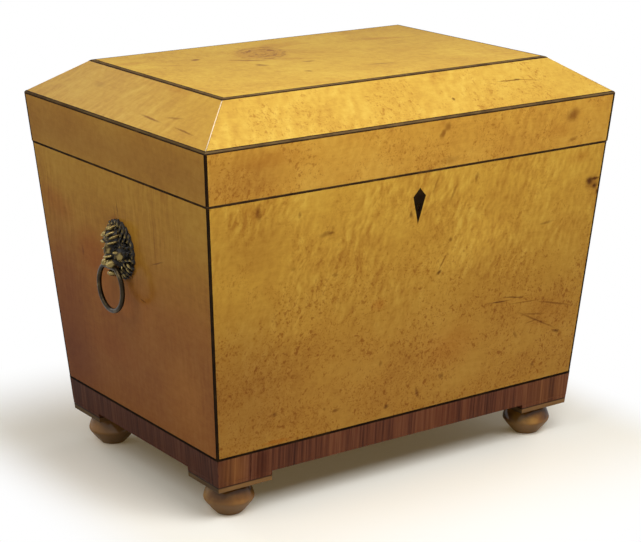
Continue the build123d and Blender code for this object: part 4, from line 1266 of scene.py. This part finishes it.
studioLook = {
    "floorTone": (0.87, 0.865, 0.812),
    "glowTone": (1.0, 0.72, 0.30),
    "floorGlow": 0.085,      # keeps the deepest shadow under the case from going black
    "floorRadius": 14.0,
    "bouncedTone": (0.22, 0.22, 0.22),       # what the floor sends back onto the case
    "whiteFrom": 0.0,        # metres beside the case where the floor starts to fade to plain white
    "whiteTo": 0.25,
    "fade": (2.2, 1.0, 1.0),     # the floor turns white sooner beside the ends
    "lamps": {               # place, size and power in watts
        "keyLamp": ((0.02, -0.98, 1.30), 0.8, 19.0),
        "fillLamp": ((-1.1, -0.25, 1.25), 0.9, 6.5),
        "topLamp": ((0.0, 0.1, 2.1), 1.6, 4.0),
        "backLamp": ((-0.5, 1.7, 0.9), 1.2, 8.0),
        "rightLamp": ((1.7, 0.3, 0.9), 1.0, 5.0),
    },
    "lampAim": (0, 0, 0.22),
    "skyLight": 0.09,
}


def seenDirectly():
    path = addNode("ShaderNodeLightPath").outputs
    seen = calc("ADD", path["Is Camera Ray"], path["Is Glossy Ray"])
    return calc("MINIMUM", calc("ADD", seen, path["Is Transmission Ray"]), 1.0)


def makeFloor():
    look = studioLook
    shape = bmesh.new()
    bmesh.ops.create_circle(shape, cap_ends=True, segments=96, radius=look["floorRadius"])
    mesh = bpy.data.meshes.new("floor")
    shape.to_mesh(mesh)
    shape.free()
    floor = bpy.data.objects.new("floor", mesh)
    bpy.context.scene.collection.objects.link(floor)
    made, shader = startMaterial("paleFloor")
    tone = mixColour(seenDirectly(), (*look["bouncedTone"], 1), (*look["floorTone"], 1))
    plugIn(shader.inputs["Base Color"], tone)
    shader.inputs["Roughness"].default_value = 0.9
    shader.inputs["Emission Color"].default_value = (*look["glowTone"], 1)
    plugIn(shader.inputs["Emission Strength"], times(seenDirectly(), look["floorGlow"]))
    beside = vectorCalc("SUBTRACT", vectorCalc("ABSOLUTE", objectPlace()), tuple(cadBox[1]))
    beside = vectorCalc("MAXIMUM", vectorCalc("MULTIPLY", beside, look["fade"]), (0.0, 0.0, 0.0))
    away = softStep(vectorCalc("LENGTH", beside), look["whiteFrom"], look["whiteTo"])
    glow = addNode("ShaderNodeEmission", {"Color": (1, 1, 1, 1), "Strength": 1.0})
    inputs = {0: times(away, seenDirectly()), 1: shader.outputs[0], 2: glow.outputs[0]}
    output = next(item for item in made.node_tree.nodes if item.type == "OUTPUT_MATERIAL")
    plugIn(output.inputs[0], addNode("ShaderNodeMixShader", inputs).outputs[0])
    mesh.materials.append(made)


def makeSky():
    world = bpy.data.worlds.new("studio")
    bpy.context.scene.world = world
    world.use_nodes = True
    bench["tree"] = world.node_tree
    bench["tree"].nodes.clear()
    strength = softStep(seenDirectly(), 0.0, 1.0, studioLook["skyLight"], 1.0)
    sky = addNode("ShaderNodeBackground", {"Color": (1, 1, 1, 1), "Strength": strength})
    plugIn(addNode("ShaderNodeOutputWorld").inputs[0], sky.outputs[0])


def softLamp(name, place, size, power):
    lamp = bpy.data.lights.new(name, "AREA")
    lamp.shape = "SQUARE"
    lamp.size = size
    lamp.energy = power
    holder = bpy.data.objects.new(name, lamp)
    bpy.context.scene.collection.objects.link(holder)
    holder.location = place
    aim = Vector(studioLook["lampAim"]) - Vector(place)
    holder.rotation_euler = aim.to_track_quat("-Z", "Y").to_euler()


cameraLook = {
    "azimuth": math.radians(-35.577),
    "elevation": math.radians(16.231),
    "roll": math.radians(0.047),
    "distance": 2.3478,
    "target": (0.04384, 0.0, 0.16337),       # counted from the top of the feet
    "focalPixels": 1937.3,
    "frameWidth": 641,
    "axisPixel": 350.0,
    "sensorWidth": 36.0,
}


def makeCamera():
    look = cameraLook
    flat = math.cos(look["elevation"])
    back = Vector((math.sin(look["azimuth"]) * flat, -math.cos(look["azimuth"]) * flat,
                   math.sin(look["elevation"])))
    camera = bpy.data.cameras.new("camera")
    camera.sensor_width = look["sensorWidth"]
    camera.lens = look["sensorWidth"] * look["focalPixels"] / look["frameWidth"]
    camera.shift_x = 0.5 - look["axisPixel"] / look["frameWidth"]
    camera.clip_end = 60.0
    holder = bpy.data.objects.new("camera", camera)
    bpy.context.scene.collection.objects.link(holder)
    turn = back.to_track_quat("Z", "Y").to_matrix().to_4x4() @ Matrix.Rotation(look["roll"], 4, "Z")
    target = Vector(look["target"]) + Vector((0, 0, seat))
    holder.matrix_world = Matrix.Translation(target + back * look["distance"]) @ turn
    bpy.context.scene.camera = holder


print("studio")
makeFloor()
makeSky()
for name, lamp in studioLook["lamps"].items():
    softLamp(name, *lamp)
makeCamera()
bpy.context.scene.view_settings.view_transform = "Standard"
